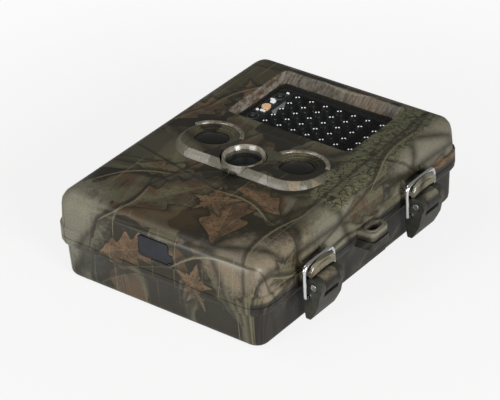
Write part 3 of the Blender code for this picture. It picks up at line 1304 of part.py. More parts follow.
def make_cover(anchor):
    """The rubber flap over the power socket, with its plug and its pull tab."""
    outline = rounded_rectangle(around(0, COVER_WIDTH), around(COVER_Z, COVER_HEIGHT), COVER_CORNER, 3)
    flap = extrusion([outline], -COVER_OUTER_Y - COVER_THICKNESS, -COVER_OUTER_Y, PLANE_XZ)
    cover = place("power_cover", flap, "rubber", anchor)
    tab_z = COVER_Z - COVER_TAB_DROP
    tab = box((0, COVER_WIDTH / 2 + COVER_TAB_WIDTH), (COVER_OUTER_Y, COVER_OUTER_Y + COVER_THICKNESS / 2),
              around(tab_z, COVER_TAB_HEIGHT))
    add(cover, tab, "tab")
    plug_y = COVER_OUTER_Y + COVER_THICKNESS + (COVER_PLUG_LENGTH - OVERLAP) / 2
    add(cover, cylinder((0, plug_y, COVER_Z), COVER_PLUG_RADIUS, COVER_PLUG_LENGTH + OVERLAP, ALONG_Y, 16), "plug")


# ---- Latches ----------------------------------------------------------------------------------------
def make_lever(number, y, anchor):
    """The latch lever: two round cheeks on the pin and a blade that lies along the rear shell's wall."""
    hub_x = LEVER_PIVOT_X
    hub_z = LEVER_PIVOT_Z
    drop = hub_z - LEVER_TIP_Z
    tip_x = hub_x - LEVER_TIP_BACK
    back_x = hub_x - LEVER_BACK
    outline = []
    for step in range(LEVER_HUB_STEPS + 1):
        angle = LEVER_HUB_START + (math.pi - LEVER_HUB_START) * step / LEVER_HUB_STEPS
        outline.append((hub_x + LEVER_HUB_RADIUS * math.cos(angle), hub_z + LEVER_HUB_RADIUS * math.sin(angle)))
    outline += [
        (back_x, hub_z - drop * LEVER_BACK_SHARES[0]),
        (back_x, hub_z - drop * LEVER_BACK_SHARES[1]),
        (tip_x - LEVER_TIP_THICKNESS, LEVER_TIP_Z + LEVER_TIP_THICKNESS / 4),
        (tip_x - LEVER_TIP_THICKNESS + SEAT_GAP, LEVER_TIP_Z),
        (tip_x, LEVER_TIP_Z),
        (tip_x + LEVER_TIP_THICKNESS / 4, LEVER_TIP_Z + LEVER_TIP_THICKNESS / 4),
        (hub_x, hub_z - drop * LEVER_FRONT_SHARES[1]),
        (hub_x + LEVER_FRONT_OUT, hub_z - drop * LEVER_FRONT_SHARES[0]),
    ]
    half = LEVER_WIDTH / 2
    lever = place(f"latch_lever_{number}", extrusion([outline], -y - half, -y + half, PLANE_XZ), "lever", anchor)
    slot_half = half - LEVER_CHEEK
    reach = 2 * LEVER_HUB_RADIUS
    cut(lever, box((hub_x - reach, hub_x + reach), (y - slot_half, y + slot_half),
                   (hub_z - LEVER_SLOT_DROP, hub_z + reach)), "knuckle_slot")
    length = LEVER_WIDTH + OVERLAP
    cut(lever, cylinder((hub_x, y, hub_z), LATCH_PIN_RADIUS + SEAT_GAP, length, ALONG_Y, 12), "pin_hole")
    cut(lever, cylinder((BAIL_PIVOT_X, y, BAIL_PIVOT_Z), BAIL_WIRE_RADIUS + SEAT_GAP, length, ALONG_Y, 10),
        "bail_hole")


def arc_points(centre, start, end, radius, steps=3):
    """Points of a bend in the YZ sense of a bail: angles run from +Y towards the bar."""
    points = []
    for step in range(steps + 1):
        angle = start + (end - start) * step / steps
        points.append((centre[0] + radius * math.cos(angle), centre[1] + radius * math.sin(angle)))
    return points


def make_bail(number, y, anchor):
    """The sprung wire: two hooked feet in the lever's cheeks, two legs and a bar over the keeper."""
    half = BAIL_SPAN / 2
    length = math.hypot(BAIL_BAR_X - BAIL_PIVOT_X, BAIL_BAR_Z - BAIL_PIVOT_Z)
    outline = [(half - BAIL_HOOK, 0.0)]
    outline += arc_points((half - BAIL_FOOT_BEND, BAIL_FOOT_BEND), -math.pi / 2, 0, BAIL_FOOT_BEND)
    outline += arc_points((half - BAIL_BEND, length - BAIL_BEND), 0, math.pi / 2, BAIL_BEND, 4)
    outline += [(-across, up) for across, up in reversed(outline)]
    lean_x = (BAIL_BAR_X - BAIL_PIVOT_X) / length
    lean_z = (BAIL_BAR_Z - BAIL_PIVOT_Z) / length
    points = [(BAIL_PIVOT_X + up * lean_x, y + across, BAIL_PIVOT_Z + up * lean_z) for across, up in outline]
    place(f"latch_bail_{number}", wire(points, BAIL_WIRE_RADIUS), "chrome", anchor)


def make_latches(root):
    for index, y in enumerate(LATCH_PLACES):
        number = index + 1
        lever_axis = new_empty(f"latch_lever_axis_{number}", Vector((LEVER_PIVOT_X, y, LEVER_PIVOT_Z)), root)
        bail_axis = new_empty(f"latch_bail_axis_{number}", Vector((BAIL_PIVOT_X, y, BAIL_PIVOT_Z)), root)
        make_lever(number, y, lever_axis)
        make_bail(number, y, bail_axis)


# ---- Whole camera -----------------------------------------------------------------------------------
def build():
    root = new_empty("camera_origin", Vector((FRAME_SHIFT, 0, 0)))
    make_rear_shell(root)
    make_tripod_insert(root)
    make_batteries(root)
    make_pins(root)
    front_axis = new_empty("case_hinge_axis", Vector((HINGE_X, 0, HINGE_Z)), root)
    make_front_shell(front_axis)
    make_seal(front_axis)
    make_lens(front_axis)
    for side in (-1, 1):
        make_sensor(side, front_axis)
    make_lamp_window(front_axis)
    make_lamp_board(front_axis)
    make_light_strip(front_axis)
    make_inner_panel(front_axis)
    make_boards(front_axis)
    make_screen(front_axis)
    make_ports(front_axis)
    make_jack(front_axis)
    key_axes = {
        name: new_empty(f"key_axis_{name}", Vector((x, y, PANEL_Z)), root) for name, (x, y) in key_places().items()
    }
    make_keys(key_axes)
    make_switch(new_empty("power_switch_axis", Vector((SWITCH_X, SWITCH_Y, PANEL_Z)), root))
    make_cover(new_empty("power_cover_axis", Vector((COVER_HINGE_X, COVER_OUTER_Y, COVER_Z)), root))
    make_latches(root)


clear_scene()
PARTS = new_collection("trail_camera")
CUTTERS = new_collection("cutters")
MATERIALS = make_materials()
build()
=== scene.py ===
"""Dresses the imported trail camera: camouflage film, windows, lamps, bright latch wires, and the studio.

The camera lies on its back. +X points to the latches, +Y to the top of the camera and +Z out of the lens.
"""

import json
import math

import bmesh
import bpy
from bpy.props import FloatProperty, FloatVectorProperty, IntProperty, PointerProperty
from mathutils import Matrix, Vector


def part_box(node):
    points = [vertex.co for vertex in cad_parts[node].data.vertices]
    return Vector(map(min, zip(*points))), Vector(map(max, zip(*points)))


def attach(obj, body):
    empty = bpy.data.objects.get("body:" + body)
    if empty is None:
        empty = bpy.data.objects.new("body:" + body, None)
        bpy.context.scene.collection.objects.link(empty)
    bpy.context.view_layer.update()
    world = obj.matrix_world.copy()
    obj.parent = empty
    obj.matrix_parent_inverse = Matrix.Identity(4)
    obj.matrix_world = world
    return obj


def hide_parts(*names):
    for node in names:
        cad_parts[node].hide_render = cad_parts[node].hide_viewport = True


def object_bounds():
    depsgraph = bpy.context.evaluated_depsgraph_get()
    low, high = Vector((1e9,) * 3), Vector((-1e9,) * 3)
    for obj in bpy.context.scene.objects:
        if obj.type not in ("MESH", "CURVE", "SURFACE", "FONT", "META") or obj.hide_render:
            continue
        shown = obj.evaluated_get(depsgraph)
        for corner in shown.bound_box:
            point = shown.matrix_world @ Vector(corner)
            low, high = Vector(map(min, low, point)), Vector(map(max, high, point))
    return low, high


bl_info = {
    "name": "Trail Camera",
    "version": (1, 0, 0),
    "blender": (4, 5, 0),
    "location": "View3D > Sidebar > Trail Camera",
    "description": "Makes the finished pieces of a clamshell trail camera and the studio round it",
    "category": "Object",
}

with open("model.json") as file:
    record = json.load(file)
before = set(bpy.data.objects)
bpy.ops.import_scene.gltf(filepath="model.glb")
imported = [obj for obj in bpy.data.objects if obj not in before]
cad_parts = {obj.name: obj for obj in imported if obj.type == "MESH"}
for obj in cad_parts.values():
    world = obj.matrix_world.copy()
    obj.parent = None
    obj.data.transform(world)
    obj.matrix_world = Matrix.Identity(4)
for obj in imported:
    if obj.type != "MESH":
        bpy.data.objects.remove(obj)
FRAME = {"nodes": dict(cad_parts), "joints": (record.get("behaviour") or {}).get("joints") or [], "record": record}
BARE_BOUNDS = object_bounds()
MM = 0.001
SMALL = 0.00001


def span(node):
    """The (low, high) corners of a CAD node."""
    low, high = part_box(node)
    return Vector(low), Vector(high)


def middle(node):
    low, high = span(node)
    return (low + high) / 2


# The lens axis, the height of the plain front face and the lower left corner of the lamps' window.
LENS = middle("lens_ring")
RING_RISE = 3.6 * MM
FACE_Z = span("lens_ring")[1].z - RING_RISE
PANE_LOW = span("lamp_window")[0]
# The raised face that carries the lens and the sensors, in millimetres from the lens axis.
FACE_HALF = 36.0
FACE_LOW = -19.2
FACE_HIGH = 14.0
FACE_RADIUS = 15.0
FACE_BEVEL = 2.7
FACE_CREST = 3.3
FACE_SLOPE = 0.09
FACE_TILT = -math.atan(FACE_SLOPE)
# A port's steps, from the outside in: shift up the face, radius and depth.
PORT_STEPS = ((1.7, 9.0, -0.5), (0.7, 8.0, -0.9), (0.0, 7.3, -6.0))
SOUND_HOLES = ((0.4, 4.3), (1.5, 4.55), (2.6, 4.8))
LIP_EDGE = 8.85 * MM
LAMP_RADIUS = 2.4 * MM
LAMP_RISE = 7.85 * MM
DOME_SQUASH = 0.85
FIELD_SHIFT, FIELD_Y = 2.9 * MM, 40.0 * MM
KEEPER_HALF, KEEPER_FALL, KEEPER_THICK = 7.9 * MM, 2.7 * MM, 2.5 * MM
SCREW_INSET = 6.5 * MM


# Shader maths
def math_method(operation):
    """A method that adds one Math node to the material."""

    def method(self, *others):
        return self.paint.math(operation, self, *others)

    return method


class Channel:
    """A number that varies over a surface; sums on it add Math nodes."""

    def __init__(self, paint, socket):
        self.paint = paint
        self.socket = socket

    def __rsub__(self, other):
        return self.paint.math("SUBTRACT", other, self)

    def step(self, low, high):
        """0 below low, 1 above high and smooth between them."""
        settings = {"interpolation_type": "SMOOTHSTEP"}
        inputs = {"Value": self, "From Min": low, "From Max": high, "To Min": 0.0, "To Max": 1.0}
        return Channel(self.paint, self.paint.node("ShaderNodeMapRange", settings, inputs).outputs["Result"])

    __add__ = __radd__ = math_method("ADD")
    __sub__ = math_method("SUBTRACT")
    __mul__ = __rmul__ = math_method("MULTIPLY")
    __truediv__ = math_method("DIVIDE")
    __abs__ = math_method("ABSOLUTE")
    power = math_method("POWER")
    sine = math_method("SINE")
    sign = math_method("SIGN")
    fraction = math_method("FRACT")
    whole = math_method("FLOOR")
    least = math_method("MINIMUM")
    most = math_method("MAXIMUM")


class Nodes:
    """Fills a node tree."""

    def __init__(self, tree):
        self.tree = tree
        self.tree.nodes.clear()

    def node(self, kind, settings=None, inputs=None):
        """One node: its settings are set first, then its sockets get values, links or the tree's own inputs."""
        node = self.tree.nodes.new(kind)
        for key, value in (settings or {}).items():
            setattr(node, key, value)
        for key, value in (inputs or {}).items():
            self.feed(node.inputs[key], value)
        return node

    def feed(self, socket, value):
        if isinstance(value, Channel):
            value = value.socket
        elif isinstance(value, str):
            value = self.inputs.outputs[value]
        if isinstance(value, bpy.types.NodeSocket):
            self.tree.links.new(value, socket)
        elif isinstance(value, tuple) and len(value) == 3 and socket.type == "RGBA":
            socket.default_value = (*value, 1.0)
        else:
            socket.default_value = value


class Paint(Nodes):
    """Builds one material from nodes."""

    def __init__(self, name):
        self.material = bpy.data.materials.new(name)
        self.material.use_nodes = True
        self.place = None
        super().__init__(self.material.node_tree)

    def math(self, operation, *values):
        node = self.node("ShaderNodeMath", {"operation": operation}, dict(enumerate(values)))
        return Channel(self, node.outputs[0])

    def mix(self, factor, first, second, blend="MIX"):
        """A colour between two colours."""
        settings = {"data_type": "RGBA", "blend_type": blend}
        return self.node("ShaderNodeMix", settings, {0: factor, 6: first, 7: second}).outputs[2]

    def position(self):
        """Where a point lies on the piece, in millimetres, with X counted from the lens."""
        if self.place is None:
            coordinate = self.node("ShaderNodeTexCoord").outputs["Object"]
            parts = self.node("ShaderNodeSeparateXYZ", None, {0: coordinate}).outputs
            x = Channel(self, parts["X"]) * 1000 - LENS.x * 1000
            self.place = (x, Channel(self, parts["Y"]) * 1000, Channel(self, parts["Z"]) * 1000)
        return self.place

    def vector(self, x, y, z):
        return self.node("ShaderNodeCombineXYZ", None, {0: x, 1: y, 2: z}).outputs[0]

    def noise(self, x, y, z, detail=2.0, rough=0.5):
        settings = {"noise_dimensions": "3D", "normalize": True}
        inputs = {"Vector": self.vector(x, y, z), "Scale": 1.0, "Detail": detail, "Roughness": rough}
        return Channel(self, self.node("ShaderNodeTexNoise", settings, inputs).outputs[0])

    def cells(self, x, y, z, feature="F1", spread=1.0):
        settings = {"voronoi_dimensions": "3D", "feature": feature}
        inputs = {"Vector": self.vector(x, y, z), "Scale": 1.0, "Randomness": spread}
        return self.node("ShaderNodeTexVoronoi", settings, inputs)

    def bump(self, height, strength, distance):
        inputs = {"Height": height, "Strength": strength, "Distance": distance}
        return self.node("ShaderNodeBump", None, inputs).outputs[0]

    def finish(self, **inputs):
        """Feeds the Principled shader: names are written with underscores."""
        named = {key.replace("_", " "): value for key, value in inputs.items()}
        shader = self.node("ShaderNodeBsdfPrincipled", None, named)
        self.node("ShaderNodeOutputMaterial", None, {"Surface": shader.outputs[0]})
        return self.material


# Camouflage film
# Leaves, stems and blades lie on the film's own plane, in millimetres from the lens axis.
# Oak leaves: foot X and Y, turn in degrees, length, half width and number of lobes.
OAK_LEAVES = (
    (-20.0, -62.0, 58.0, 42.0, 13.0, 4.0),
    (26.0, -64.0, 112.0, 38.0, 12.0, 3.0),
    (36.0, -34.0, 158.0, 27.0, 8.0, 3.0),
    (-37.0, -34.0, 12.0, 26.0, 7.0, 3.0),
    (-46.0, 2.0, 70.0, 27.0, 7.0, 4.0),
    (-20.0, 64.0, 160.0, 26.0, 6.5, 3.0),
    (59.0, -14.0, 88.0, 28.0, 8.0, 3.0),
    (66.0, 44.0, 70.0, 26.0, 7.0, 3.0),
    (-28.0, -90.0, 24.0, 32.0, 8.5, 4.0),
)
# Maple leaves: centre X and Y, turn in degrees and length of the middle lobe.
MAPLE_LEAVES = (
    (7.0, -40.0, 35.0, 17.0),
    (-33.0, 38.0, 130.0, 13.0),
    (62.0, -52.0, 60.0, 15.0),
    (20.0, -88.0, 80.0, 15.0),
)
STEMS = (
    (-44.0, -54.0, 40.0, 34.0, 5.0, 0.55),
    (-28.0, -74.0, 76.0, 30.0, -5.0, 0.6),
    (3.0, -33.0, -12.0, 32.0, 4.0, 0.5),
    (-40.0, 18.0, 66.0, 34.0, 4.0, 0.6),
    (-12.0, 61.0, 8.0, 40.0, -3.0, 0.5),
    (45.0, -70.0, 92.0, 40.0, 4.0, 0.6),
    (60.0, -60.0, 80.0, 46.0, -5.0, 0.7),
    (55.0, 6.0, 104.0, 44.0, 5.0, 0.6),
    (-50.0, -62.0, 98.0, 44.0, 4.0, 0.7),
    (8.0, -84.0, 20.0, 40.0, 5.0, 0.7),
)
BLADE_TURN = math.radians(-4.0)
FILM_DARK = (0.017, 0.015, 0.009)
FILM_OLIVE = (0.056, 0.048, 0.027)
FILM_MOSS = (0.090, 0.084, 0.050)
FILM_BROWN = (0.072, 0.044, 0.023)
FILM_RUST = (0.135, 0.082, 0.044)
FILM_GREY = (0.115, 0.106, 0.080)
FILM_PALE = (0.180, 0.164, 0.105)
FILM_BARK = (0.125, 0.125, 0.074)
# Pale film: streaks of stretched film, and the painted highlight on the bevel and the recess walls.
FILM_STRETCH_AND_HIGHLIGHT = (0.210, 0.194, 0.170)
FILM_SAGE = (0.170, 0.160, 0.118)
FILM_SLATE = (0.012, 0.011, 0.010)
FILM_TAN = (0.200, 0.165, 0.115)
FILM_INSIDE = (0.024, 0.024, 0.021)
# Broad tones under the pattern; those on the walls at the latches and at the bottom are painted light: centre U
# and V, radius, tint and share.
TONES_AND_WALL_LIGHT = (
    (40.0, -68.0, 22.0, FILM_TAN, 0.55),
    (66.0, -54.0, 28.0, FILM_TAN, 0.75),
    (66.0, -12.0, 32.0, FILM_SAGE, 0.8),
    (64.0, 46.0, 34.0, FILM_SAGE, 0.75),
    (-34.0, -20.0, 22.0, FILM_MOSS, 0.5),
    (-38.0, 50.0, 26.0, FILM_OLIVE, 0.7),
    (-48.0, -76.0, 28.0, FILM_SAGE, 0.8),
    (0.0, -46.0, 24.0, FILM_BROWN, 0.45),
)
LEAF_SHADOW = -5.5


def film_plane(paint):
    """The film's plane, folded down over the walls so that the pattern runs on over the edges."""
    x, y, z = paint.position()
    depth = FACE_Z / MM - z
    fold_x = x.sign() * abs(x).step(45.0, 52.0)
    fold_y = y.sign() * abs(y).step(62.0, 69.0)
    return x + fold_x * depth, y + fold_y * depth


def along(u, v, start_x, start_y, turn):
    """Distances along and across a line on the film."""
    cosine = math.cos(math.radians(turn))
    sine = math.sin(math.radians(turn))
    length = (u - start_x) * cosine + (v - start_y) * sine
    across = (v - start_y) * cosine - (u - start_x) * sine
    return length, across


def oak_leaf(u, v, ragged, leaf):
    """How far inside a leaf with rounded lobes a point lies, how far from a vein and how far across."""
    start_x, start_y, turn, size, width, lobes = leaf
    length, across = along(u, v, start_x, start_y, turn)
    side = abs(across)
    share = ((length - side * 0.6) / size).most(0.0).least(1.0)
    body = (share * math.pi).sine().power(0.6)
    lobed = (share * (math.tau * lobes) + math.pi).sine() * 0.24 + 0.80
    inside = body * lobed * width - side + ragged * 1.6 - 0.4
    branch_vein = abs(((length - side) * (lobes * 1.5 / size)).fraction() - 0.5) * (size / lobes * 0.7)
    return inside, side.least(branch_vein + side * 0.06), across


def maple_leaf(paint, u, v, ragged, leaf):
    """The same for a leaf with five pointed lobes."""
    centre_x, centre_y, turn, size = leaf
    length, across = along(u, v, centre_x, centre_y, turn)
    angle = paint.math("ARCTAN2", across, length)
    distance = (length * length + across * across).power(0.5)
    ray = (angle * 2.5).sine()
    point = 1.0 - abs(ray).power(1.1)
    teeth = abs((angle * 7.5).sine()) * 0.10
    front = 0.72 + (angle * 0.5).sine().power(2.0) * -0.22
    inside = (front * (0.54 + point * 0.48) - teeth) * size - distance + ragged * 2.2
    vein = abs(((angle * (2.5 / math.pi)) + 0.5).fraction() - 0.5) * distance * 1.2
    return inside, vein, across


def paint_leaf(paint, u, v, ragged, colour, shape, tint):
    """A dry leaf with a soft shadow round it, dark freckles, a darker half and paler veins."""
    inside, vein, across = shape
    colour = paint.mix(inside.step(LEAF_SHADOW, 0.3).power(1.6) * 0.85, colour, FILM_DARK)
    mottle = paint.noise(u * 0.13, v * 0.13, 20.0 + tint, 3.0, 0.6).step(0.36, 0.64)
    leaf = paint.mix(mottle, FILM_BROWN, FILM_RUST if tint % 3 else FILM_MOSS)
    leaf = paint.mix((1.0 - across.step(-1.2, 1.2)) * 0.35, leaf, FILM_DARK)
    leaf = paint.mix((ragged + 0.5).step(0.60, 0.70) * 0.75, leaf, FILM_DARK)
    leaf = paint.mix((1.0 - vein.step(0.12, 0.55)) * 0.20, leaf, FILM_PALE)
    leaf = paint.mix((1.0 - inside.step(0.2, 1.1)) * 0.14, leaf, FILM_PALE)
    spots = paint.noise(u * 0.9, v * 0.9, 50.0 + tint, 1.0).step(0.62, 0.68)
    leaf = paint.mix(spots * 0.8, leaf, FILM_DARK)
    return paint.mix(inside.step(-0.1, 0.35), colour, leaf)


def camouflage(name, gloss, grain=1.0):
    paint = Paint(name)
    u, v = film_plane(paint)
    sway_u = paint.noise(u * 0.05, v * 0.05, 3.0) * 18.0
    sway_v = paint.noise(u * 0.05, v * 0.05, 9.0) * 18.0
    tone = paint.noise(u * 0.035 + 4.0, v * 0.028, 1.0, 3.0, 0.6)
    ragged = paint.noise(u * 0.42, v * 0.42, 2.0, 3.0, 0.6) - 0.5
    colour = paint.mix(tone.step(0.40, 0.64), FILM_OLIVE, FILM_MOSS)
    rust = (paint.noise(u * 0.04, v * 0.05, 7.0, 2.0) + ragged * 0.05).step(0.52, 0.55)
    colour = paint.mix(rust * 0.8, colour, FILM_BROWN)
    smear = paint.noise((u + v * 0.3) * 0.20, v * 0.030, 5.0, 4.0, 0.6).step(0.50, 0.68)
    colour = paint.mix(smear * 0.6, colour, FILM_GREY)
    streak = paint.noise((u + v * 0.2) * 0.34, v * 0.05, 15.0, 3.0, 0.6).step(0.57, 0.62)
    colour = paint.mix(streak * 0.6, colour, FILM_DARK)
    gap = paint.noise((u + sway_u) * 0.040, (v + sway_v) * 0.034, 12.0, 2.0, 0.45) + ragged * 0.03
    colour = paint.mix(gap.step(0.500, 0.515) * 0.92, colour, FILM_DARK)
    # Broad tones: print on the face, and painted light on the walls at the latches and at the bottom.
    for centre_u, centre_v, radius, tint, share in TONES_AND_WALL_LIGHT:
        off_u, off_v = u - centre_u, v - centre_v
        away = (off_u * off_u + off_v * off_v).power(0.5) + ragged * 16.0
        colour = paint.mix((1.0 - away.step(radius * 0.5, radius)) * share, colour, tint)
    colour = branch(paint, u, v, ragged, colour)
    shapes = [(number, oak_leaf(u, v, ragged, leaf)) for number, leaf in enumerate(OAK_LEAVES)]
    shapes += [(number, maple_leaf(paint, u, v, ragged, leaf)) for number, leaf in enumerate(MAPLE_LEAVES, 1)]
    for number, shape in shapes:
        colour = paint_leaf(paint, u, v, ragged, colour, shape, number)
    colour = bark(paint, u, v, ragged, colour)
    for start_x, start_y, turn, size, bend, width in STEMS:
        length, across = along(u, v, start_x, start_y, turn)
        share = (length / size).most(0.0).least(1.0)
        bow = across - (share * math.pi).sine() * bend + ragged * 1.0
        thick = (share * math.pi).sine().power(0.4) * width
        colour = paint.mix((thick - abs(bow - 1.0)).step(-1.6, 0.1) * 0.7, colour, FILM_DARK)
        lit = paint.mix(bow.step(-0.4, 0.5), FILM_PALE, FILM_OLIVE)
        colour = paint.mix((thick - abs(bow)).step(-0.3, 0.2) * 0.7, colour, lit)
    colour = blades(paint, u, v, colour)
    # Painted highlight: the bevel round the raised face is painted pale, in patches.
    patch = paint.cells(u * 0.13, v * 0.13, 40.0).outputs["Color"]
    patch = Channel(paint, paint.node("ShaderNodeSeparateColor", None, {0: patch}).outputs[0])
    pale = paint.mix(patch.step(0.65, 0.70), FILM_STRETCH_AND_HIGHLIGHT, FILM_TAN)
    painted_bevel_highlight = paint.mix(patch.step(0.35, 0.40), FILM_GREY, pale)
    colour = paint.mix(bevel_highlight_mask(paint) * 0.85, colour, painted_bevel_highlight)
    # Painted shade over a dark print: the rear shell's wall at the latches, below the rim, turns slate.
    below = 1.0 - paint.position()[2].step(21.5, 23.5)
    shade = below * u.step(50.0, 54.0) * (0.92 - smear * 0.3)
    colour = paint.mix(shade, colour, FILM_SLATE)
    colour = recess_and_inside(paint, colour)
    speckle = paint.noise(u * 1.5, v * 1.5, 4.0, 3.0, 0.7)
    fleck = speckle.step(0.3, 0.75) * (0.5 * grain) + (1.0 - 0.25 * grain)
    colour = paint.mix(1.0, colour, paint.vector(fleck, fleck, fleck), "MULTIPLY")
    rough = speckle * 0.14 + (gloss - 0.07)
    return paint.finish(
        Base_Color=colour,
        Roughness=rough,
        Specular_IOR_Level=0.25 if grain == 1.0 else 0.6,
        Normal=paint.bump(speckle, 0.12, 0.1 * MM),
    )


def recess_and_inside(paint, colour):
    """The sloping walls of the lamp recess get pale streaks of stretched film with a painted highlight, stronger
    on the left, and the inside of the case is plain.
    """
    x, y, z = paint.position()
    wall = z.step(36.2, 36.5) * (1.0 - z.step(39.75, 39.85)) * (1.0 - abs(x).step(35.0, 35.2))
    wall = wall * y.step(18.0, 18.2)
    # Pale streaks of stretched film with a painted highlight on the recess walls, stronger towards the left.
    streaks = paint.noise(x * 0.9, y * 0.2, z * 0.2, 3.0, 0.6).step(0.35, 0.65)
    pale = paint.mix(streaks, FILM_BROWN, FILM_STRETCH_AND_HIGHLIGHT)
    colour = paint.mix(wall * (0.35 + (1.0 - x.step(-31.0, -22.0)) * 0.4), colour, pale)
    inside = (1.0 - abs(x).step(48.2, 48.3)) * (1.0 - abs(y).step(65.6, 65.7))
    inside = inside * z.step(2.5, 2.6) * (1.0 - z.step(35.8, 35.9))
    return paint.mix(inside, colour, FILM_INSIDE)


def bevel_highlight_mask(paint):
    """The bevel round the raised face, where a pale highlight is painted on the film."""
    x, y, z = paint.position()
    corner_x = (abs(x) - (FACE_HALF - FACE_RADIUS)).most(0.0)
    middle_y = (FACE_LOW + FACE_HIGH) / 2
    corner_y = (abs(y - middle_y) - ((FACE_HIGH - FACE_LOW) / 2 - FACE_RADIUS)).most(0.0)
    inset = FACE_RADIUS - (corner_x * corner_x + corner_y * corner_y).power(0.5)
    on_bevel = inset.step(-0.3, 0.1) * (1.0 - inset.step(FACE_BEVEL - 0.5, FACE_BEVEL + 0.1))
    return on_bevel * (1.0 - y.step(-8.0, 4.0)) * z.step(39.8, 40.2)


def bark(paint, u, v, ragged, colour):
    """Ridged bark that runs up one side of the face."""
    edge = (u + v * 0.12 + ragged * 7.0).step(33.0, 36.0)
    edge = edge * (1.0 - (u + v * 0.1 + ragged * 8.0).step(49.0, 53.0)) * (v + ragged * 12.0).step(-22.0, -14.0)
    wave = paint.noise(u * 0.16, v * 0.16, 30.0, 2.0) * 5.0
    ridge = paint.cells((u + v) * 0.17 + wave * 0.1, (u - v) * 0.44 + wave, 2.0, "DISTANCE_TO_EDGE")
    fine = paint.noise((u + v) * 0.4, (u - v) * 1.0 + wave, 31.0, 3.0, 0.7)
    groove = (Channel(paint, ridge.outputs["Distance"]) + fine * 0.26 - 0.12).step(0.00, 0.13)
    fill = paint.mix(groove, FILM_DARK, paint.mix(fine.step(0.4, 0.7), FILM_BARK, FILM_OLIVE))
    return paint.mix(edge, colour, fill)


def branch(paint, u, v, ragged, colour):
    """A pale limb across the lower face, with a dark line under it."""
    length, across = along(u, v, -60.0, -44.0, 17.0)
    bow = across - (length * 0.06).sine() * 2.0 + ragged * 2.0
    extent = 1.0 - (length + ragged * 10.0).step(40.0, 48.0)
    colour = paint.mix((6.2 - abs(bow + 1.0)).step(-1.5, 1.2) * extent * 0.85, colour, FILM_DARK)
    fibre = paint.noise(length * 0.08, across * 1.1, 6.0, 2.0).step(0.35, 0.7)
    limb = paint.mix(fibre, FILM_OLIVE, FILM_MOSS)
    return paint.mix((4.6 - abs(bow)).step(-0.2, 0.3) * extent, colour, limb)


def blades(paint, u, v, colour):
    """Thin straight grass blades, nearly parallel, that fade at both ends."""
    cosine, sine = math.cos(BLADE_TURN), math.sin(BLADE_TURN)
    across = u * cosine + v * sine
    length = v * cosine - u * sine
    for pitch, shift, width in ((15.0, 2.0, 0.022), (11.0, 5.5, 0.018)):
        lane = across / pitch + shift + (length / 160.0)
        centred = abs(lane.fraction() - 0.5)
        lit = paint.noise(length * 0.035, lane.whole() * 3.7, 8.0 + shift, 0.0).step(0.56, 0.66)
        colour = paint.mix((1.0 - centred.step(width * 0.4, width)) * lit * 0.5, colour, FILM_PALE)
    return colour


# Other finishes
def grained(name, light, dark, roughness, scale=0.8, depth=0.05, **fixed):
    """A moulded or rubber surface whose colour and shine vary a little."""
    paint = Paint(name)
    x, y, z = paint.position()
    fine = paint.noise(x * scale, y * scale, z * scale, 3.0, 0.6)
    broad = paint.noise(x * scale * 0.12, y * scale * 0.12, z * scale * 0.12, 2.0)
    colour = paint.mix((fine * 0.5 + broad * 0.5).step(0.35, 0.65), dark, light)
    rough = (fine - 0.5) * 0.16 + roughness
    return paint.finish(Base_Color=colour, Roughness=rough, Normal=paint.bump(fine, 0.2, depth * MM), **fixed)


def brushed(name, light, dark, roughness, stretch, **fixed):
    """A metal with fine lines; stretch gives how slowly they change along X, Y and Z."""
    paint = Paint(name)
    x, y, z = paint.position()
    lines = paint.noise(x * stretch[0], y * stretch[1], z * stretch[2], 3.0, 0.6)
    colour = paint.mix(lines.step(0.3, 0.7), dark, light)
    rough = (lines - 0.5) * 0.2 + roughness
    return paint.finish(Base_Color=colour, Roughness=rough, Metallic=1.0, **fixed)


def board_paint():
    """Solder mask with copper tracks and pads under it."""
    paint = Paint("circuit board")
    x, y, z = paint.position()
    lanes = paint.cells(x * 0.16, y * 0.16, 1.0, "DISTANCE_TO_EDGE", 0.0)
    warp = paint.noise(x * 0.1, y * 0.1, 2.0)
    track = 1.0 - abs((x * 0.45 + warp.whole() * 0.2).fraction() - 0.5).step(0.08, 0.14)
    cross = 1.0 - abs((y * 0.31).fraction() - 0.5).step(0.07, 0.12)
    pick = warp.step(0.48, 0.52)
    tracks = track * pick + cross * (1.0 - pick)
    pads = 1.0 - Channel(paint, lanes.outputs["Distance"]).step(0.02, 0.05)
    colour = paint.mix(tracks * 0.7, (0.012, 0.075, 0.035), (0.03, 0.15, 0.06))
    colour = paint.mix(pads * 0.25, colour, (0.5, 0.42, 0.2))
    return paint.finish(Base_Color=colour, Roughness=warp * 0.1 + 0.3)


def window_paint(name, tint, alpha, roughness=0.05):
    """A dark clear sheet; smears change its shine a little."""
    paint = Paint(name)
    x, y, z = paint.position()
    smear = paint.noise(x * 0.06, y * 0.06, z * 0.06, 2.0)
    colour = paint.mix(smear, tint, tuple(0.6 * part for part in tint))
    rough = smear * 0.04 + roughness
    return paint.finish(Base_Color=colour, Roughness=rough, Alpha=alpha, Specular_IOR_Level=0.6)


def sensor_paint():
    """Thin dark sheet moulded into narrow lens strips."""
    paint = Paint("sensor window")
    x, y, z = paint.position()
    strip = abs((x * 0.55).fraction() - 0.5)
    line = 1.0 - strip.step(0.02, 0.09)
    row = 1.0 - abs(((y + 3.1) * 0.25).fraction() - 0.5).step(0.01, 0.05)
    lines = (line + row * 0.6).least(1.0)
    colour = paint.mix(lines, (0.009, 0.009, 0.008), (0.013, 0.012, 0.011))
    return paint.finish(Base_Color=colour, Roughness=lines * 0.1 + 0.22, Specular_IOR_Level=0.25)


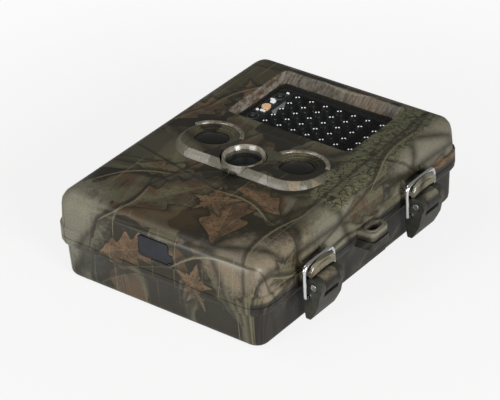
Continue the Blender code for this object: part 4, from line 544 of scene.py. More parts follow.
def jacket_paint():
    """Cell jacket: a dark tube with a copper-coloured band at one end."""
    paint = Paint("cell jacket")
    x, y, z = paint.position()
    scuff = paint.noise(x * 0.5, y * 0.2, z * 0.5, 3.0)
    band = abs(abs(y) - 52.0).step(6.0, 6.3)
    colour = paint.mix(band, (0.42, 0.22, 0.09), (0.035, 0.04, 0.045))
    return paint.finish(Base_Color=colour, Roughness=scuff * 0.2 + 0.18, Metallic=(1.0 - band) * 0.8)


def screen_paint():
    """A dark screen in a slightly paler frame."""
    paint = Paint("screen")
    x, y, z = paint.position()
    low, high = span("screen")
    centre_y = (low.y + high.y) / 2 / MM
    frame = abs(x).step(24.0, 24.3).most(abs(y - centre_y).step(17.0, 17.3))
    smear = paint.noise(x * 0.05, y * 0.05, 1.0)
    colour = paint.mix(frame, (0.018, 0.026, 0.034), (0.006, 0.006, 0.007))
    return paint.finish(Base_Color=colour, Roughness=smear * 0.06 + 0.06, Coat_Weight=0.4)


def make_finishes():
    """Every finish by its name."""
    dull = {"Specular_IOR_Level": 0.3}
    # Painted light: the glints in the lamps and the white chips glow, though neither gives light.
    painted_white_glow = {"Emission_Color": (1.0, 1.0, 1.0, 1.0), "Emission_Strength": 0.9}
    return {
        "film": camouflage("camouflage film", 0.36),
        "gloss_film": camouflage("camouflage film gloss", 0.24, 0.6),
        "hood": grained("hood film", (0.20, 0.18, 0.14), (0.06, 0.053, 0.036), 0.20, 0.7, 0.02),
        "ring": grained("ring film", (0.26, 0.235, 0.19), (0.10, 0.09, 0.065), 0.22, 0.55, 0.02),
        "lever": grained("latch plastic", (0.044, 0.043, 0.034), (0.020, 0.020, 0.016), 0.42, 0.5, **dull),
        "chrome": brushed("bright wire", (0.90, 0.90, 0.91), (0.78, 0.78, 0.80), 0.10, (0.3, 0.3, 0.3)),
        "steel": brushed("pin steel", (0.62, 0.60, 0.57), (0.38, 0.37, 0.35), 0.30, (1.5, 0.1, 1.5)),
        "brass": brushed("insert brass", (0.74, 0.56, 0.26), (0.55, 0.38, 0.16), 0.32, (1.2, 1.2, 0.2)),
        "rubber": grained("cover rubber", (0.015, 0.017, 0.021), (0.009, 0.010, 0.013), 0.5, 1.6, **dull),
        "seal": grained("seal rubber", (0.030, 0.030, 0.030), (0.015, 0.015, 0.015), 0.7, 1.2),
        "black": grained("black moulding", (0.022, 0.022, 0.023), (0.012, 0.012, 0.013), 0.4, 1.1),
        "pane": window_paint("lamp window", (0.008, 0.009, 0.009), 0.22),
        "glass": window_paint("lens glass", (0.010, 0.014, 0.012), 0.22, 0.03),
        "element": window_paint("lens element", (0.030, 0.044, 0.034), 1.0, 0.10),
        "sensor": sensor_paint(),
        "board": board_paint(),
        "lamp": grained("lamp resin", (0.008, 0.009, 0.009), (0.005, 0.005, 0.006), 0.35, 0.5, 0.01,
                        Specular_IOR_Level=0.2),
        "lamp_board": grained("lamp board mask", (0.018, 0.020, 0.020), (0.009, 0.010, 0.010), 0.42),
        "spot": grained("lamp glint", (0.95, 0.95, 0.97), (0.80, 0.80, 0.82), 0.3, 2.0, 0.01, **painted_white_glow),
        # Painted highlights: the light cell and the foil glow, though they give no light.
        "gold": grained("light cell", (0.98, 0.74, 0.46), (0.80, 0.45, 0.20), 0.30, 0.9, 0.05,
                        Emission_Color=(1.0, 0.66, 0.38, 1.0), Emission_Strength=0.6),
        "white": grained("ceramic chip", (0.90, 0.90, 0.90), (0.70, 0.72, 0.74), 0.35, 1.4, 0.02, **painted_white_glow),
        "foil": grained("bright foil", (0.42, 0.43, 0.43), (0.16, 0.17, 0.17), 0.3, 0.8, 0.02,
                        Emission_Color=(0.8, 0.82, 0.82, 1.0), Emission_Strength=0.12),
        "rim": grained("sensor rim", (0.20, 0.205, 0.205), (0.10, 0.102, 0.102), 0.3, 1.4),
        "jacket": jacket_paint(),
        "screen": screen_paint(),
        "keys": grained("silicone key", (0.30, 0.30, 0.30), (0.22, 0.22, 0.22), 0.6, 1.2),
    }


# Mesh helpers
def object_of_mesh(name, mesh):
    obj = bpy.data.objects.new(name, mesh)
    bpy.context.scene.collection.objects.link(obj)
    return obj


def plain_mesh(obj):
    """The mesh that an object's modifiers give; it loses them."""
    graph = bpy.context.evaluated_depsgraph_get()
    mesh = bpy.data.meshes.new_from_object(obj.evaluated_get(graph))
    obj.modifiers.clear()
    return mesh


def object_from(name, bm, finishes, sharp=30.0):
    """An object of its own, with its finishes in slot order and hard edges above an angle."""
    mesh = bpy.data.meshes.new(name)
    bm.to_mesh(mesh)
    bm.free()
    for finish in finishes:
        mesh.materials.append(FINISHES[finish])
    mesh.shade_smooth()
    mesh.set_sharp_from_angle(angle=math.radians(sharp))
    return object_of_mesh(name, mesh)


def seat(obj, body, slot, *nodes):
    """Says which body a piece rides on and which CAD nodes it stands for; the slot is not used."""
    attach(obj, body)
    if nodes:
        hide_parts(*nodes)


def piece(name, bm, finishes, body, slot, *nodes, sharp=30.0):
    """A new piece that rides on a body."""
    obj = object_from(name, bm, finishes, sharp)
    seat(obj, body, slot, *nodes)
    return obj


def soften(obj, width):
    """Rounds the sharp edges of a piece."""
    bevel = obj.modifiers.new("edges", "BEVEL")
    bevel.width = width
    bevel.segments = 2
    bevel.limit_method = "ANGLE"
    bevel.angle_limit = math.radians(35.0)
    bevel.use_clamp_overlap = True
    bevel.harden_normals = True


def merged_copy(node):
    """A welded copy of a CAD node's mesh, with flat faces joined up again."""
    bm = bmesh.new()
    bm.from_mesh(FRAME["nodes"][node].data)
    bmesh.ops.remove_doubles(bm, verts=bm.verts, dist=SMALL / 4)
    bmesh.ops.dissolve_limit(bm, angle_limit=math.radians(0.6), verts=bm.verts, edges=bm.edges)
    return bm


def refined(node, finish, slot, width):
    """A CAD node's own form, with its edges rounded."""
    soften(piece(node + "_skin", merged_copy(node), [finish], BODY_OF[node], slot, node), width)


def dress(finish, *nodes):
    """Puts a finish on CAD nodes that are good as they are."""
    for node in nodes:
        mesh = FRAME["nodes"][node].data
        mesh.materials.clear()
        mesh.materials.append(FINISHES[finish])


def turned(profile, centre, segments=64):
    """A turned solid: (radius, height) points in millimetres run from the top to the bottom on the outside."""
    bm = bmesh.new()
    points = [bm.verts.new(centre + Vector((radius, 0.0, height)) * MM) for radius, height in profile]
    edges = [bm.edges.new(pair) for pair in zip(points, points[1:])]
    if profile[0][0] > 0.0:
        edges.append(bm.edges.new((points[-1], points[0])))
    bmesh.ops.spin(bm, geom=points + edges, cent=centre, axis=(0, 0, 1), angle=math.tau, steps=segments,
                   use_merge=True)
    bmesh.ops.remove_doubles(bm, verts=bm.verts, dist=SMALL)
    bmesh.ops.recalc_face_normals(bm, faces=bm.faces)
    return bm


def lofted(bm, rings):
    """Joins rings of points into a closed skin and gives back its faces."""
    faces = [bm.faces.new(rings[0]), bm.faces.new(rings[-1])]
    for first, second in zip(rings, rings[1:]):
        for index in range(len(first)):
            faces.append(bm.faces.new((first[index - 1], first[index], second[index], second[index - 1])))
    bmesh.ops.recalc_face_normals(bm, faces=bm.faces)
    return faces


def add_plate(bm, low, high, finish=0):
    """A block between two corners."""
    made = bmesh.ops.create_cube(bm, size=1.0)["verts"]
    place = Matrix.Translation((low + high) / 2) @ Matrix.Diagonal(high - low).to_4x4()
    bmesh.ops.transform(bm, matrix=place, verts=made)
    for face in {face for vert in made for face in vert.link_faces}:
        face.material_index = finish


def tube(points, radius):
    """A round wire through points with closed ends."""
    curve = bpy.data.curves.new("wire", "CURVE")
    curve.dimensions = "3D"
    curve.bevel_depth = radius
    curve.bevel_resolution = 4
    curve.use_fill_caps = True
    spline = curve.splines.new("POLY")
    spline.points.add(len(points) - 1)
    for point, place in zip(spline.points, points):
        point.co = (*place, 1.0)
    guide = object_of_mesh("wire", curve)
    bm = bmesh.new()
    bm.from_mesh(plain_mesh(guide))
    bmesh.ops.remove_doubles(bm, verts=bm.verts, dist=SMALL / 10)
    bpy.data.objects.remove(guide)
    return bm


def arc(centre, radius, start, end, steps):
    """Points round an arc in a plane of (across, up)."""
    points = []
    for step in range(steps + 1):
        angle = math.radians(start + (end - start) * step / steps)
        points.append((centre[0] + radius * math.cos(angle), centre[1] + radius * math.sin(angle)))
    return points


def domed(radius, centre_height, edge):
    """The outline of a dome, from its crown down to an angle in degrees."""
    points = arc((0.0, centre_height), radius, 90, edge, 8)
    return [(0.0, points[0][1])] + points[1:]


PIVOTS = {joint["name"]: Vector(joint["pos_m"]) for joint in FRAME["joints"] if "pos_m" in joint}
BODY_OF = {node: body for body, nodes in FRAME["record"]["behaviour"]["bodies"].items() for node in nodes}


# Geometry Nodes
class Tree(Nodes):
    """Builds one Geometry Nodes group with named inputs."""

    def __init__(self, name, inputs):
        super().__init__(bpy.data.node_groups.new(name, "GeometryNodeTree"))
        self.sockets = {}
        for label, kind, value in inputs:
            socket = self.tree.interface.new_socket(name=label, in_out="INPUT", socket_type=kind)
            socket.default_value = value
            self.sockets[label] = socket.identifier
        self.tree.interface.new_socket(name="Geometry", in_out="OUTPUT", socket_type="NodeSocketGeometry")
        self.inputs = self.node("NodeGroupInput")
        self.output = self.node("NodeGroupOutput")

    def apply(self, name, values):
        """Runs the tree and returns its mesh."""
        carrier = object_of_mesh(name, bpy.data.meshes.new(name))
        modifier = carrier.modifiers.new("nodes", "NODES")
        modifier.node_group = self.tree
        for label, value in values.items():
            modifier[self.sockets[label]] = value
        carrier.update_tag()
        mesh = plain_mesh(carrier)
        bpy.data.objects.remove(carrier)
        return mesh


def lamp_tree():
    """A grid of lamps: each is a tube under a dome, with two bright glints."""
    tree = Tree("lamp field", [
        ("Columns", "NodeSocketInt", 7),
        ("Rows", "NodeSocketInt", 5),
        ("Column Pitch", "NodeSocketFloat", 7.27 * MM),
        ("Row Pitch", "NodeSocketFloat", 5.72 * MM),
        ("Centre", "NodeSocketVector", (0.0, 0.0, 0.0)),
        ("Radius", "NodeSocketFloat", LAMP_RADIUS),
        ("Height", "NodeSocketFloat", 6.0 * MM),
        ("Glint", "NodeSocketFloat", 0.4 * MM),
    ])

    def node(kind, **inputs):
        named = {key.replace("_", " "): value for key, value in inputs.items()}
        return tree.node(kind, None, named).outputs[0]

    def maths(operation, first, second):
        return tree.node("ShaderNodeMath", {"operation": operation}, {0: first, 1: second}).outputs[0]

    def joined(*parts):
        join = tree.node("GeometryNodeJoinGeometry")
        for part in parts:
            tree.tree.links.new(part, join.inputs[0])
        return join.outputs[0]

    size_x = maths("MULTIPLY", maths("SUBTRACT", "Columns", 1.0), "Column Pitch")
    size_y = maths("MULTIPLY", maths("SUBTRACT", "Rows", 1.0), "Row Pitch")
    grid = node("GeometryNodeMeshGrid", Size_X=size_x, Size_Y=size_y, Vertices_X="Columns", Vertices_Y="Rows")
    points = tree.node("GeometryNodeMeshToPoints", None, {0: grid}).outputs[0]
    drop = node("ShaderNodeCombineXYZ", Z=maths("MULTIPLY", "Height", -0.5))
    barrel = node("GeometryNodeMeshCylinder", Vertices=24, Radius="Radius", Depth="Height")
    barrel = node("GeometryNodeTransform", Geometry=barrel, Translation=drop)
    dome = node("GeometryNodeMeshUVSphere", Segments=24, Rings=12, Radius="Radius")
    dome = node("GeometryNodeTransform", Geometry=dome, Scale=(1.0, 1.0, DOME_SQUASH))
    smooth = tree.node("GeometryNodeSetShadeSmooth", None, {0: joined(barrel, dome)}).outputs[0]
    parts = [node("GeometryNodeSetMaterial", Geometry=smooth, Material=FINISHES["lamp"])]
    ball = node("GeometryNodeMeshIcoSphere", Radius="Glint", Subdivisions=2)
    for side in (-1, 1):
        place = (side * 0.48 * MM, side * 0.34 * MM, 1.90 * MM)
        spot = node("GeometryNodeTransform", Geometry=ball, Translation=place)
        parts.append(node("GeometryNodeSetMaterial", Geometry=spot, Material=FINISHES["spot"]))
    placed = node("GeometryNodeInstanceOnPoints", Points=points, Instance=joined(*parts))
    moved = node("GeometryNodeTransform", Geometry=placed, Translation="Centre")
    real = tree.node("GeometryNodeRealizeInstances", None, {0: moved}).outputs[0]
    tree.tree.links.new(real, tree.output.inputs[0])
    return tree


# Pieces
def make_shells(settings):
    refined("front_shell", "film", "camouflage_plastic", settings.edge_round)
    refined("rear_shell", "film", "camouflage_plastic", settings.edge_round)
    dress("seal", "case_seal")
    dress("steel", "hinge_pin")
    dress("brass", "tripod_insert")


def rounded_ring(bm, inset, height_at):
    """Points round the raised face's outline, drawn in by inset."""
    radius = FACE_RADIUS - inset
    half = FACE_HALF - FACE_RADIUS
    corners = ((half, FACE_HIGH, 0), (-half, FACE_HIGH, 90), (-half, FACE_LOW, 180), (half, FACE_LOW, 270))
    ring = []
    for corner_x, side_y, start in corners:
        corner_y = side_y - math.copysign(FACE_RADIUS, side_y)
        for x, y in arc((corner_x, corner_y), radius, start, start + 90, 12):
            ring.append(bm.verts.new((LENS.x + x * MM, y * MM, FACE_Z + height_at(y) * MM)))
    return ring


def crest_height(y):
    return FACE_CREST - FACE_SLOPE * (y - FACE_LOW - FACE_BEVEL)


def drilled(obj, cutters):
    """Cuts solids out of a piece and gives back a plain mesh."""
    for cutter in cutters:
        hole = obj.modifiers.new(cutter.name, "BOOLEAN")
        hole.operation = "DIFFERENCE"
        hole.solver = "EXACT"
        hole.object = cutter
    obj.data = plain_mesh(obj)
    for cutter in cutters:
        bpy.data.objects.remove(cutter)


def drill(name, place, radius, low, high, tilt=0.0, segments=64):
    """A round cutter that reaches from low to high, in millimetres along its own axis."""
    bm = bmesh.new()
    bmesh.ops.create_cone(bm, cap_ends=True, segments=segments, radius1=radius * MM, radius2=radius * MM,
                          depth=(high - low) * MM)
    lift = Matrix.Translation((0, 0, (high + low) / 2 * MM))
    stand = Matrix.Translation(place) @ Matrix.Rotation(tilt, 4, "X")
    bmesh.ops.transform(bm, matrix=stand @ lift, verts=bm.verts)
    return object_from(name, bm, ["gloss_film"])


def port_place(side):
    """The middle of a sensor port on the raised face."""
    y = middle("sensor_window_left").y / MM
    x = abs(middle("sensor_window_right").x - middle("sensor_window_left").x) / 2
    return Vector((LENS.x + side * x, y * MM, FACE_Z + crest_height(y) * MM))


def make_face():
    """The raised face: a wedge with a rounded crest and bevel, two stepped ports, and three sound holes."""
    bm = bmesh.new()
    rings = [rounded_ring(bm, 0.0, lambda y: -0.4), rounded_ring(bm, 0.0, lambda y: 0.0)]
    for inset, share in ((0.75, 0.84), (0.93, 0.96), (1.15, 1.0)):
        rings.append(rounded_ring(bm, FACE_BEVEL * inset, lambda y: crest_height(y) * share))
    lofted(bm, rings)
    face = object_from("raised_face", bm, ["film"], 40)
    cutters = [drill("ring_seat", Vector((LENS.x, LENS.y, FACE_Z)), 9.7, -2.0, 8.0)]
    for side in (-1, 1):
        for number, (shift, radius, low) in enumerate(PORT_STEPS):
            place = port_place(side) + Vector((0, shift * MM, 0))
            cutters.append(drill(f"port{side}_{number}", place, radius, low, 3.0, FACE_TILT))
    for number, (x, y) in enumerate(SOUND_HOLES):
        place = Vector((LENS.x + x * MM, y * MM, FACE_Z))
        cutters.append(drill(f"sound{number}", place, 0.36, 0.0, 6.0, 0.0, 12))
    drilled(face, cutters)
    face.data.set_sharp_from_angle(angle=math.radians(40))
    seat(face, "front_case", "camouflage_plastic")


def make_sensors():
    """A hood over each port, the curved window in it and the sensor behind."""
    for side, label in ((-1, "left"), (1, "right")):
        place = port_place(side)
        points = []
        for across, up in arc((0.0, 0.0), 12.4, 24, 160, 36):
            points.append(place + Vector((across, up, -FACE_SLOPE * up + 0.15)) * MM)
        bm = tube(points, 0.95 * MM)
        piece(f"port_hood_{label}", bm, ["hood"], "front_case", "camouflage_plastic", sharp=50)
        bm = turned(domed(22.5, -22.0, 71.3) + [(7.2, -1.2), (0.0, -1.2)], Vector((0, 0, 0)), 48)
        rest = Matrix.Translation(place - Vector((0, 0, 0.55 * MM)))
        bmesh.ops.transform(bm, matrix=rest @ Matrix.Rotation(FACE_TILT, 4, "X"), verts=bm.verts)
        node = f"sensor_window_{label}"
        piece(node + "_skin", bm, ["sensor"], BODY_OF[node], "sensor_window", node)
        dress("steel", f"sensor_can_{label}")


def make_keeper(number):
    """The curved lip of the keeper, which rises in front of the latch wire."""
    low, high = span(f"latch_bail_{number}")
    centre_y = PIVOTS[f"latch_bail_{number}_pivot"].y
    inner = high.x + 0.3 * MM
    crest = high.z + 0.5 * MM
    bm = bmesh.new()
    rings = []
    steps = 24
    for step in range(steps + 1):
        across = 2.0 * step / steps - 1.0
        fall = across * across
        end = 0.5 * MM * max(0.0, abs(across) - 0.85) / 0.15
        top = crest - KEEPER_FALL * fall - 2 * end
        under = top - KEEPER_THICK + 3 * end
        lean = 0.5 * MM * (1.0 - fall)
        section = ((inner, under), (inner + 1.2 * MM, under), (inner + 1.2 * MM + lean, (under + top) / 2),
                   (inner + 0.9 * MM, top - 0.3 * MM), (inner + 0.5 * MM, top), (inner, top - 0.2 * MM))
        rings.append([bm.verts.new((x, centre_y + across * KEEPER_HALF, z)) for x, z in section])
    lofted(bm, rings)
    hook = piece(f"keeper_hook_{number}", bm, ["gloss_film"], "front_case", "camouflage_plastic", sharp=50)
    soften(hook, 0.2 * MM)


def make_latch(number, settings):
    """A lever with a softened edge, its pin, and a smooth bright wire."""
    refined(f"latch_lever_{number}", "lever", "dark_olive_plastic", 0.35 * MM)
    refined(f"latch_pin_{number}", "steel", "steel", 0.15 * MM)
    node = f"latch_bail_{number}"
    low, high = span(node)
    radius = settings.wire_radius
    half = (high.y - low.y) / 2 - radius
    foot = PIVOTS[f"{node}_pivot"]
    bar_x = low.x + radius if foot.x - low.x > high.x - foot.x + SMALL else high.x - radius
    bar = Vector((bar_x, foot.y, high.z - radius))
    rise = bar - foot
    length = rise.length
    lean = rise / length
    bend = 2.6 * MM
    hook = 1.44 * MM
    outline = [(half - 4.0 * MM, 0.0)]
    outline += arc((half - hook, hook), hook, -90, 0, 6)
    outline += arc((half - bend, length - bend), bend, 0, 90, 8)
    outline += [(-across, up) for across, up in reversed(outline)]
    points = [foot + lean * up + Vector((0, across, 0)) for across, up in outline]
    bm = tube(points, radius)
    piece(f"latch_wire_{number}", bm, ["chrome"], BODY_OF[node], "chrome_wire", node, sharp=50)


def make_lens():
    """The ring round the lens, the cover glass and the lens behind it."""
    low, high = span("lens_ring")
    base = Vector((LENS.x, LENS.y, low.z))
    radius, height = (high.x - low.x) / 2 / MM, (high.z - low.z) / MM
    profile = [(8.45, height - 0.15), (8.6, height), (8.8, height), (8.95, height - 0.2), (9.1, height - 1.0),
               (9.5, height - 2.2), (radius, 0.3), (radius, 0.0), (7.5, 0.0), (7.5, height - 2.3),
               (7.65, height - 2.0), (8.05, height - 1.25), (8.15, height - 1.05)]
    bm = turned(profile, base, 96)
    for face in bm.faces:
        if (face.calc_center_median() - base).xy.length > LIP_EDGE:
            face.material_index = 1
    piece("lens_ring_skin", bm, ["ring", "film"], BODY_OF["lens_ring"], "camouflage_plastic", "lens_ring")
    dress("glass", "lens_glass")
    low, high = span("lens_barrel")
    base = Vector((LENS.x, LENS.y, low.z))
    radius, height = (high.x - low.x) / 2 / MM, (high.z - low.z) / MM
    profile = [(4.6, height - 1.0), (5.4, height), (6.0, height), (6.0, height * 0.4), (radius, height * 0.4),
               (radius, 0.0), (3.0, 0.0), (3.0, height - 2.2), (3.6, height - 2.2)]
    body = BODY_OF["lens_barrel"]
    piece("lens_barrel_skin", turned(profile, base), ["black"], body, "black_plastic", "lens_barrel")
    dome = domed(6.0, -6.0 * math.sin(math.radians(52)), 52)
    dome += [(dome[-1][0], -0.6), (0.0, -0.6)]
    centre = base + Vector((0, 0, (height - 2.0) * MM))
    piece("lens_element", turned(dome, centre, 48), ["element"], body, "dark_glass")


def make_lamps(settings):
    """The lamp board with its field of lamps behind the dark pane."""
    dress("pane", "lamp_window")
    low, high = span("lamp_board")
    top = high.z - LAMP_RISE
    body = BODY_OF["lamp_board"]
    bm = bmesh.new()
    add_plate(bm, low, Vector((high.x, high.y, top)))
    piece("lamp_board_plate", bm, ["lamp_board"], body, "lamp_board", "lamp_board")
    crown = high.z - LAMP_RADIUS * DOME_SQUASH
    values = {
        "Columns": settings.columns,
        "Rows": settings.rows,
        "Column Pitch": settings.column_pitch,
        "Row Pitch": settings.row_pitch,
        "Centre": (LENS.x + FIELD_SHIFT, FIELD_Y, crown),
        "Radius": LAMP_RADIUS,
        "Height": crown - top + 0.2 * MM,
        "Glint": settings.glint,
    }
    seat(object_of_mesh("lamp_field", lamp_tree().apply("lamp_field", values)), body, "lamp_board")
    dress("black", "light_baffle")
    dress("lamp", "light_sensor_lower", "light_sensor_upper")
    dress("gold", "light_cell")
    dress("white", "indicator_lamp")


# Chips on the strip left of the lamps, in millimetres from the lens axis: X and Y, size along X and Y, and
# the number of the finish. Then the outline of the foil.
STRIP_CHIPS = (
    (-27.9, 45.4, 2.4, 0.9, 1),
    (-28.6, 35.2, 2.0, 0.9, 1),
    (-25.5, 35.6, 2.4, 0.9, 1),
    (-28.4, 24.9, 1.4, 0.7, 1),
    (-25.2, 53.0, 1.2, 0.6, 1),
    (-24.0, 37.3, 0.9, 1.6, 2),
)
FOIL = ((-21.7, 46.8), (-21.7, 37.0), (-20.3, 37.4), (-20.3, 44.2))


def make_strip():
    """The small board left of the lamps, with chips, a bright foil and a rim round each light sensor."""
    top = span("light_sensor_lower")[1].z - 0.7 * MM
    low, high = span("light_baffle")
    bm = bmesh.new()
    add_plate(bm, Vector((PANE_LOW.x + 0.3 * MM, low.y + 0.4 * MM, top - 0.5 * MM)),
              Vector((low.x, high.y - 0.4 * MM, top)))
    for x, y, size_x, size_y, finish in STRIP_CHIPS:
        centre = Vector((LENS.x + x * MM, y * MM, top + 0.25 * MM))
        half = Vector((size_x, size_y, 0.6)) * MM / 2
        add_plate(bm, centre - half, centre + half, finish)
    ends = [[bm.verts.new((LENS.x + x * MM, y * MM, top + z * MM)) for x, y in FOIL] for z in (0.6, -6.4)]
    for face in lofted(bm, ends):
        face.material_index = 3
    body = BODY_OF["lamp_board"]
    piece("strip_board", bm, ["lamp_board", "white", "gold", "foil"], body, "lamp_board")
    for place in ("lower", "upper"):
        base = Vector((*middle(f"light_sensor_{place}").xy, top))
        rim = [(2.55, 0.55), (2.75, 0.35), (2.75, -0.1), (2.2, -0.1), (2.2, 0.55)]
        eye = [(0.0, 1.05), (0.5, 1.0), (0.9, 0.75), (0.9, 0.4), (0.0, 0.4)]
        piece(f"light_sensor_rim_{place}", turned(rim, base, 48), ["rim"], body, "lamp_board")
        piece(f"light_sensor_eye_{place}", turned(eye, base, 24), ["rim"], body, "lamp_board")


def make_inside():
    """The panel, boards and sockets that show when the case is open."""
    refined("inner_panel", "black", "black_plastic", 0.2 * MM)
    dress("board", "main_board")
    dress("screen", "screen")
    dress("steel", "card_slot", "data_port")
    dress("black", "power_jack")
    for node in [f"key_{name}" for name in ("ok", "up", "down", "left", "right")] + ["power_switch"]:
        refined(node, "keys", "key_rubber", 0.2 * MM)


def make_marks():
    """Arrows on the four keys and a ring on the middle one."""
    hub = middle("key_ok")
    for name in ("up", "down", "left", "right"):
        node = f"key_{name}"
        centre = Vector((*middle(node).xy, span(node)[0].z))
        way = Vector((*(centre - hub).xy, 0.0)).normalized()
        side = Vector((-way.y, way.x, 0.0))
        tip = [centre + way * 2.2 * MM]
        tip += [centre - way * 1.2 * MM + side * turn * MM for turn in (2.0, -2.0)]
        bm = bmesh.new()
        rises = (-0.06 * MM, 0.10 * MM)
        lofted(bm, [[bm.verts.new(point + Vector((0, 0, rise))) for point in tip] for rise in rises])
        piece(f"key_arrow_{name}", bm, ["black"], BODY_OF[node], "key_rubber")
    ring = [(1.3, 0.1), (1.8, 0.1), (1.8, -0.06), (1.3, -0.06)]
    base = Vector((hub.x, hub.y, span("key_ok")[0].z))
    piece("key_ring_ok", turned(ring, base, 32), ["black"], BODY_OF["key_ok"], "key_rubber")


def make_screws():
    """The four cross-headed screws that hold the panel."""
    low, high = span("inner_panel")
    head = [(0.0, 0.3), (1.7, 0.3), (1.7, -0.15), (1.3, -0.45), (0.0, -0.5)]
    for number, (x, y) in enumerate(((low.x, low.y), (high.x, low.y), (low.x, high.y), (high.x, high.y))):
        centre = Vector((x + math.copysign(SCREW_INSET, -x), y + math.copysign(SCREW_INSET, -y), low.z))
        screw = object_from(f"panel_screw_{number + 1}", turned(head, centre, 32), ["steel"])
        slots = []
        half = Vector((2.0, 0.35, 0.6)) * MM / 2
        for turn in (0.0, math.pi / 2):
            bm = bmesh.new()
            add_plate(bm, -half, half)
            place = Matrix.Translation(centre - Vector((0, 0, 0.5 * MM)))
            bmesh.ops.transform(bm, matrix=place @ Matrix.Rotation(turn + 0.3 * number, 4, "Z"), verts=bm.verts)
            slots.append(object_from(f"slot_{number}_{turn:.0f}", bm, ["steel"]))
        drilled(screw, slots)
        seat(screw, "front_case", "steel")


def make_cells():
    dress("jacket", *[f"battery_{number}" for number in range(1, 9)])
    for bank in ("lower", "upper"):
        dress("black", f"battery_tray_{bank}")
        dress("steel", f"contact_strip_{bank}_inner", f"contact_strip_{bank}_outer")


# Studio
# The camera's place is counted from the lens axis; the angles are those of the photo.
CAMERA_PLACE = Vector((548.05, -677.36, 560.31)) * MM
CAMERA_AZIMUTH = math.radians(39.29)
CAMERA_ELEVATION = math.radians(31.93)
CAMERA_ROLL = math.radians(-3.35)
FOCAL_LENGTH = 180.27
FLOOR_HALF = 4.0
# The paper turns from its near tone, darker as a painted shade round the case, to its far tone between these
# distances from the lens axis, in millimetres.
PAPER_FADE = (90.0, 330.0)


def make_camera():
    flat = Vector((math.sin(CAMERA_AZIMUTH), -math.cos(CAMERA_AZIMUTH), 0.0)) * math.cos(CAMERA_ELEVATION)
    back = flat + Vector((0.0, 0.0, math.sin(CAMERA_ELEVATION)))
    level = (-back).cross(Vector((0, 0, 1))).normalized()
    upright = level.cross(-back)
    cosine, sine = math.cos(CAMERA_ROLL), math.sin(CAMERA_ROLL)
    right = level * cosine + upright * sine
    up = upright * cosine - level * sine
    data = bpy.data.cameras.new("photo")
    data.sensor_width = 36.0
    data.lens = FOCAL_LENGTH
    data.clip_start = 0.01
    data.clip_end = 20.0
    camera = bpy.data.objects.new("photo", data)
    bpy.context.scene.collection.objects.link(camera)
    turn = Matrix((right, up, back)).transposed().to_4x4()
    camera.matrix_world = Matrix.Translation(CAMERA_PLACE + Vector((LENS.x, 0, 0))) @ turn
    bpy.context.scene.camera = camera


def make_light(name, place, size, power):
    data = bpy.data.lights.new(name, "AREA")
    data.shape = "RECTANGLE"
    data.size, data.size_y = size
    data.energy = power
    light = bpy.data.objects.new(name, data)
    bpy.context.scene.collection.objects.link(light)
    light.location = place
    light.rotation_mode = "QUATERNION"
    light.rotation_quaternion = (Vector((0, 0, 0.02)) - Vector(place)).to_track_quat("-Z", "Y")


def floor_paint(settings):
    """Pale paper: rays from the camera see it a little brighter than the lamps leave it."""
    paint = Paint("studio paper")
    x, y, z = paint.position()
    far = (x * x + y * y).power(0.5).step(*PAPER_FADE)
    path = paint.node("ShaderNodeLightPath").outputs
    seen = Channel(paint, path["Is Camera Ray"]).most(Channel(paint, path["Is Transmission Ray"]))
    paper = paint.node("ShaderNodeBsdfDiffuse", None, {"Color": tuple(settings.floor_colour)}).outputs[0]
    # Painted shade: rays from the camera see the paper a little darker near the case.
    shade = paint.mix(far, (0.966, 0.966, 0.964), (0.990, 0.990, 0.990))
    glow = paint.node("ShaderNodeEmission", None, {"Color": shade, "Strength": 1.0}).outputs[0]
    share = (far * (1.0 - settings.paper_glow) + settings.paper_glow) * seen
    surface = paint.node("ShaderNodeMixShader", None, {0: share, 1: paper, 2: glow}).outputs[0]
    paint.node("ShaderNodeOutputMaterial", None, {"Surface": surface})
    return paint.material


def make_world(settings):
    """White to the camera and an even fill to all else."""
    world = bpy.data.worlds.new("studio")
    bpy.context.scene.world = world
    world.use_nodes = True
    nodes = Nodes(world.node_tree)
    seen = nodes.node("ShaderNodeLightPath").outputs["Is Camera Ray"]
    even = {"Color": (1.0, 1.0, 1.0), "Strength": settings.fill}
    fill = nodes.node("ShaderNodeBackground", None, even).outputs[0]
    white = nodes.node("ShaderNodeBackground", None, {"Color": (0.985, 0.985, 0.985)}).outputs[0]
    mix = nodes.node("ShaderNodeMixShader", None, {0: seen, 1: fill, 2: white}).outputs[0]
    nodes.node("ShaderNodeOutputWorld", None, {"Surface": mix})


def make_studio(settings):
    bm = bmesh.new()
    bmesh.ops.create_grid(bm, x_segments=1, y_segments=1, size=FLOOR_HALF)
    mesh = bpy.data.meshes.new("studio_floor")
    bm.to_mesh(mesh)
    bm.free()
    mesh.transform(Matrix.Translation((0, 0, BARE_BOUNDS[0].z - 0.05 * MM)))
    mesh.materials.append(floor_paint(settings))
    object_of_mesh("studio_floor", mesh)
    make_light("key", (-0.35, -1.35, 0.38), (0.9, 0.5), settings.key)
    make_light("top", (-0.72, -0.30, 1.05), (0.45, 0.45), settings.top)
    make_light("side", (1.30, -0.50, 0.44), (0.6, 0.5), settings.side)
    make_world(settings)
    make_camera()
    bpy.context.scene.view_settings.view_transform = "Standard"


# Add-on
class CaseSettings(bpy.types.PropertyGroup):
    edge_round: FloatProperty(
        name="Edge Rounding", description="Radius of the small moulded edges",
        default=0.25 * MM, min=0.0, max=1.0 * MM, unit="LENGTH")
    wire_radius: FloatProperty(
        name="Wire Radius", description="Radius of the latch wire",
        default=0.9 * MM, min=0.3 * MM, max=1.5 * MM, unit="LENGTH")


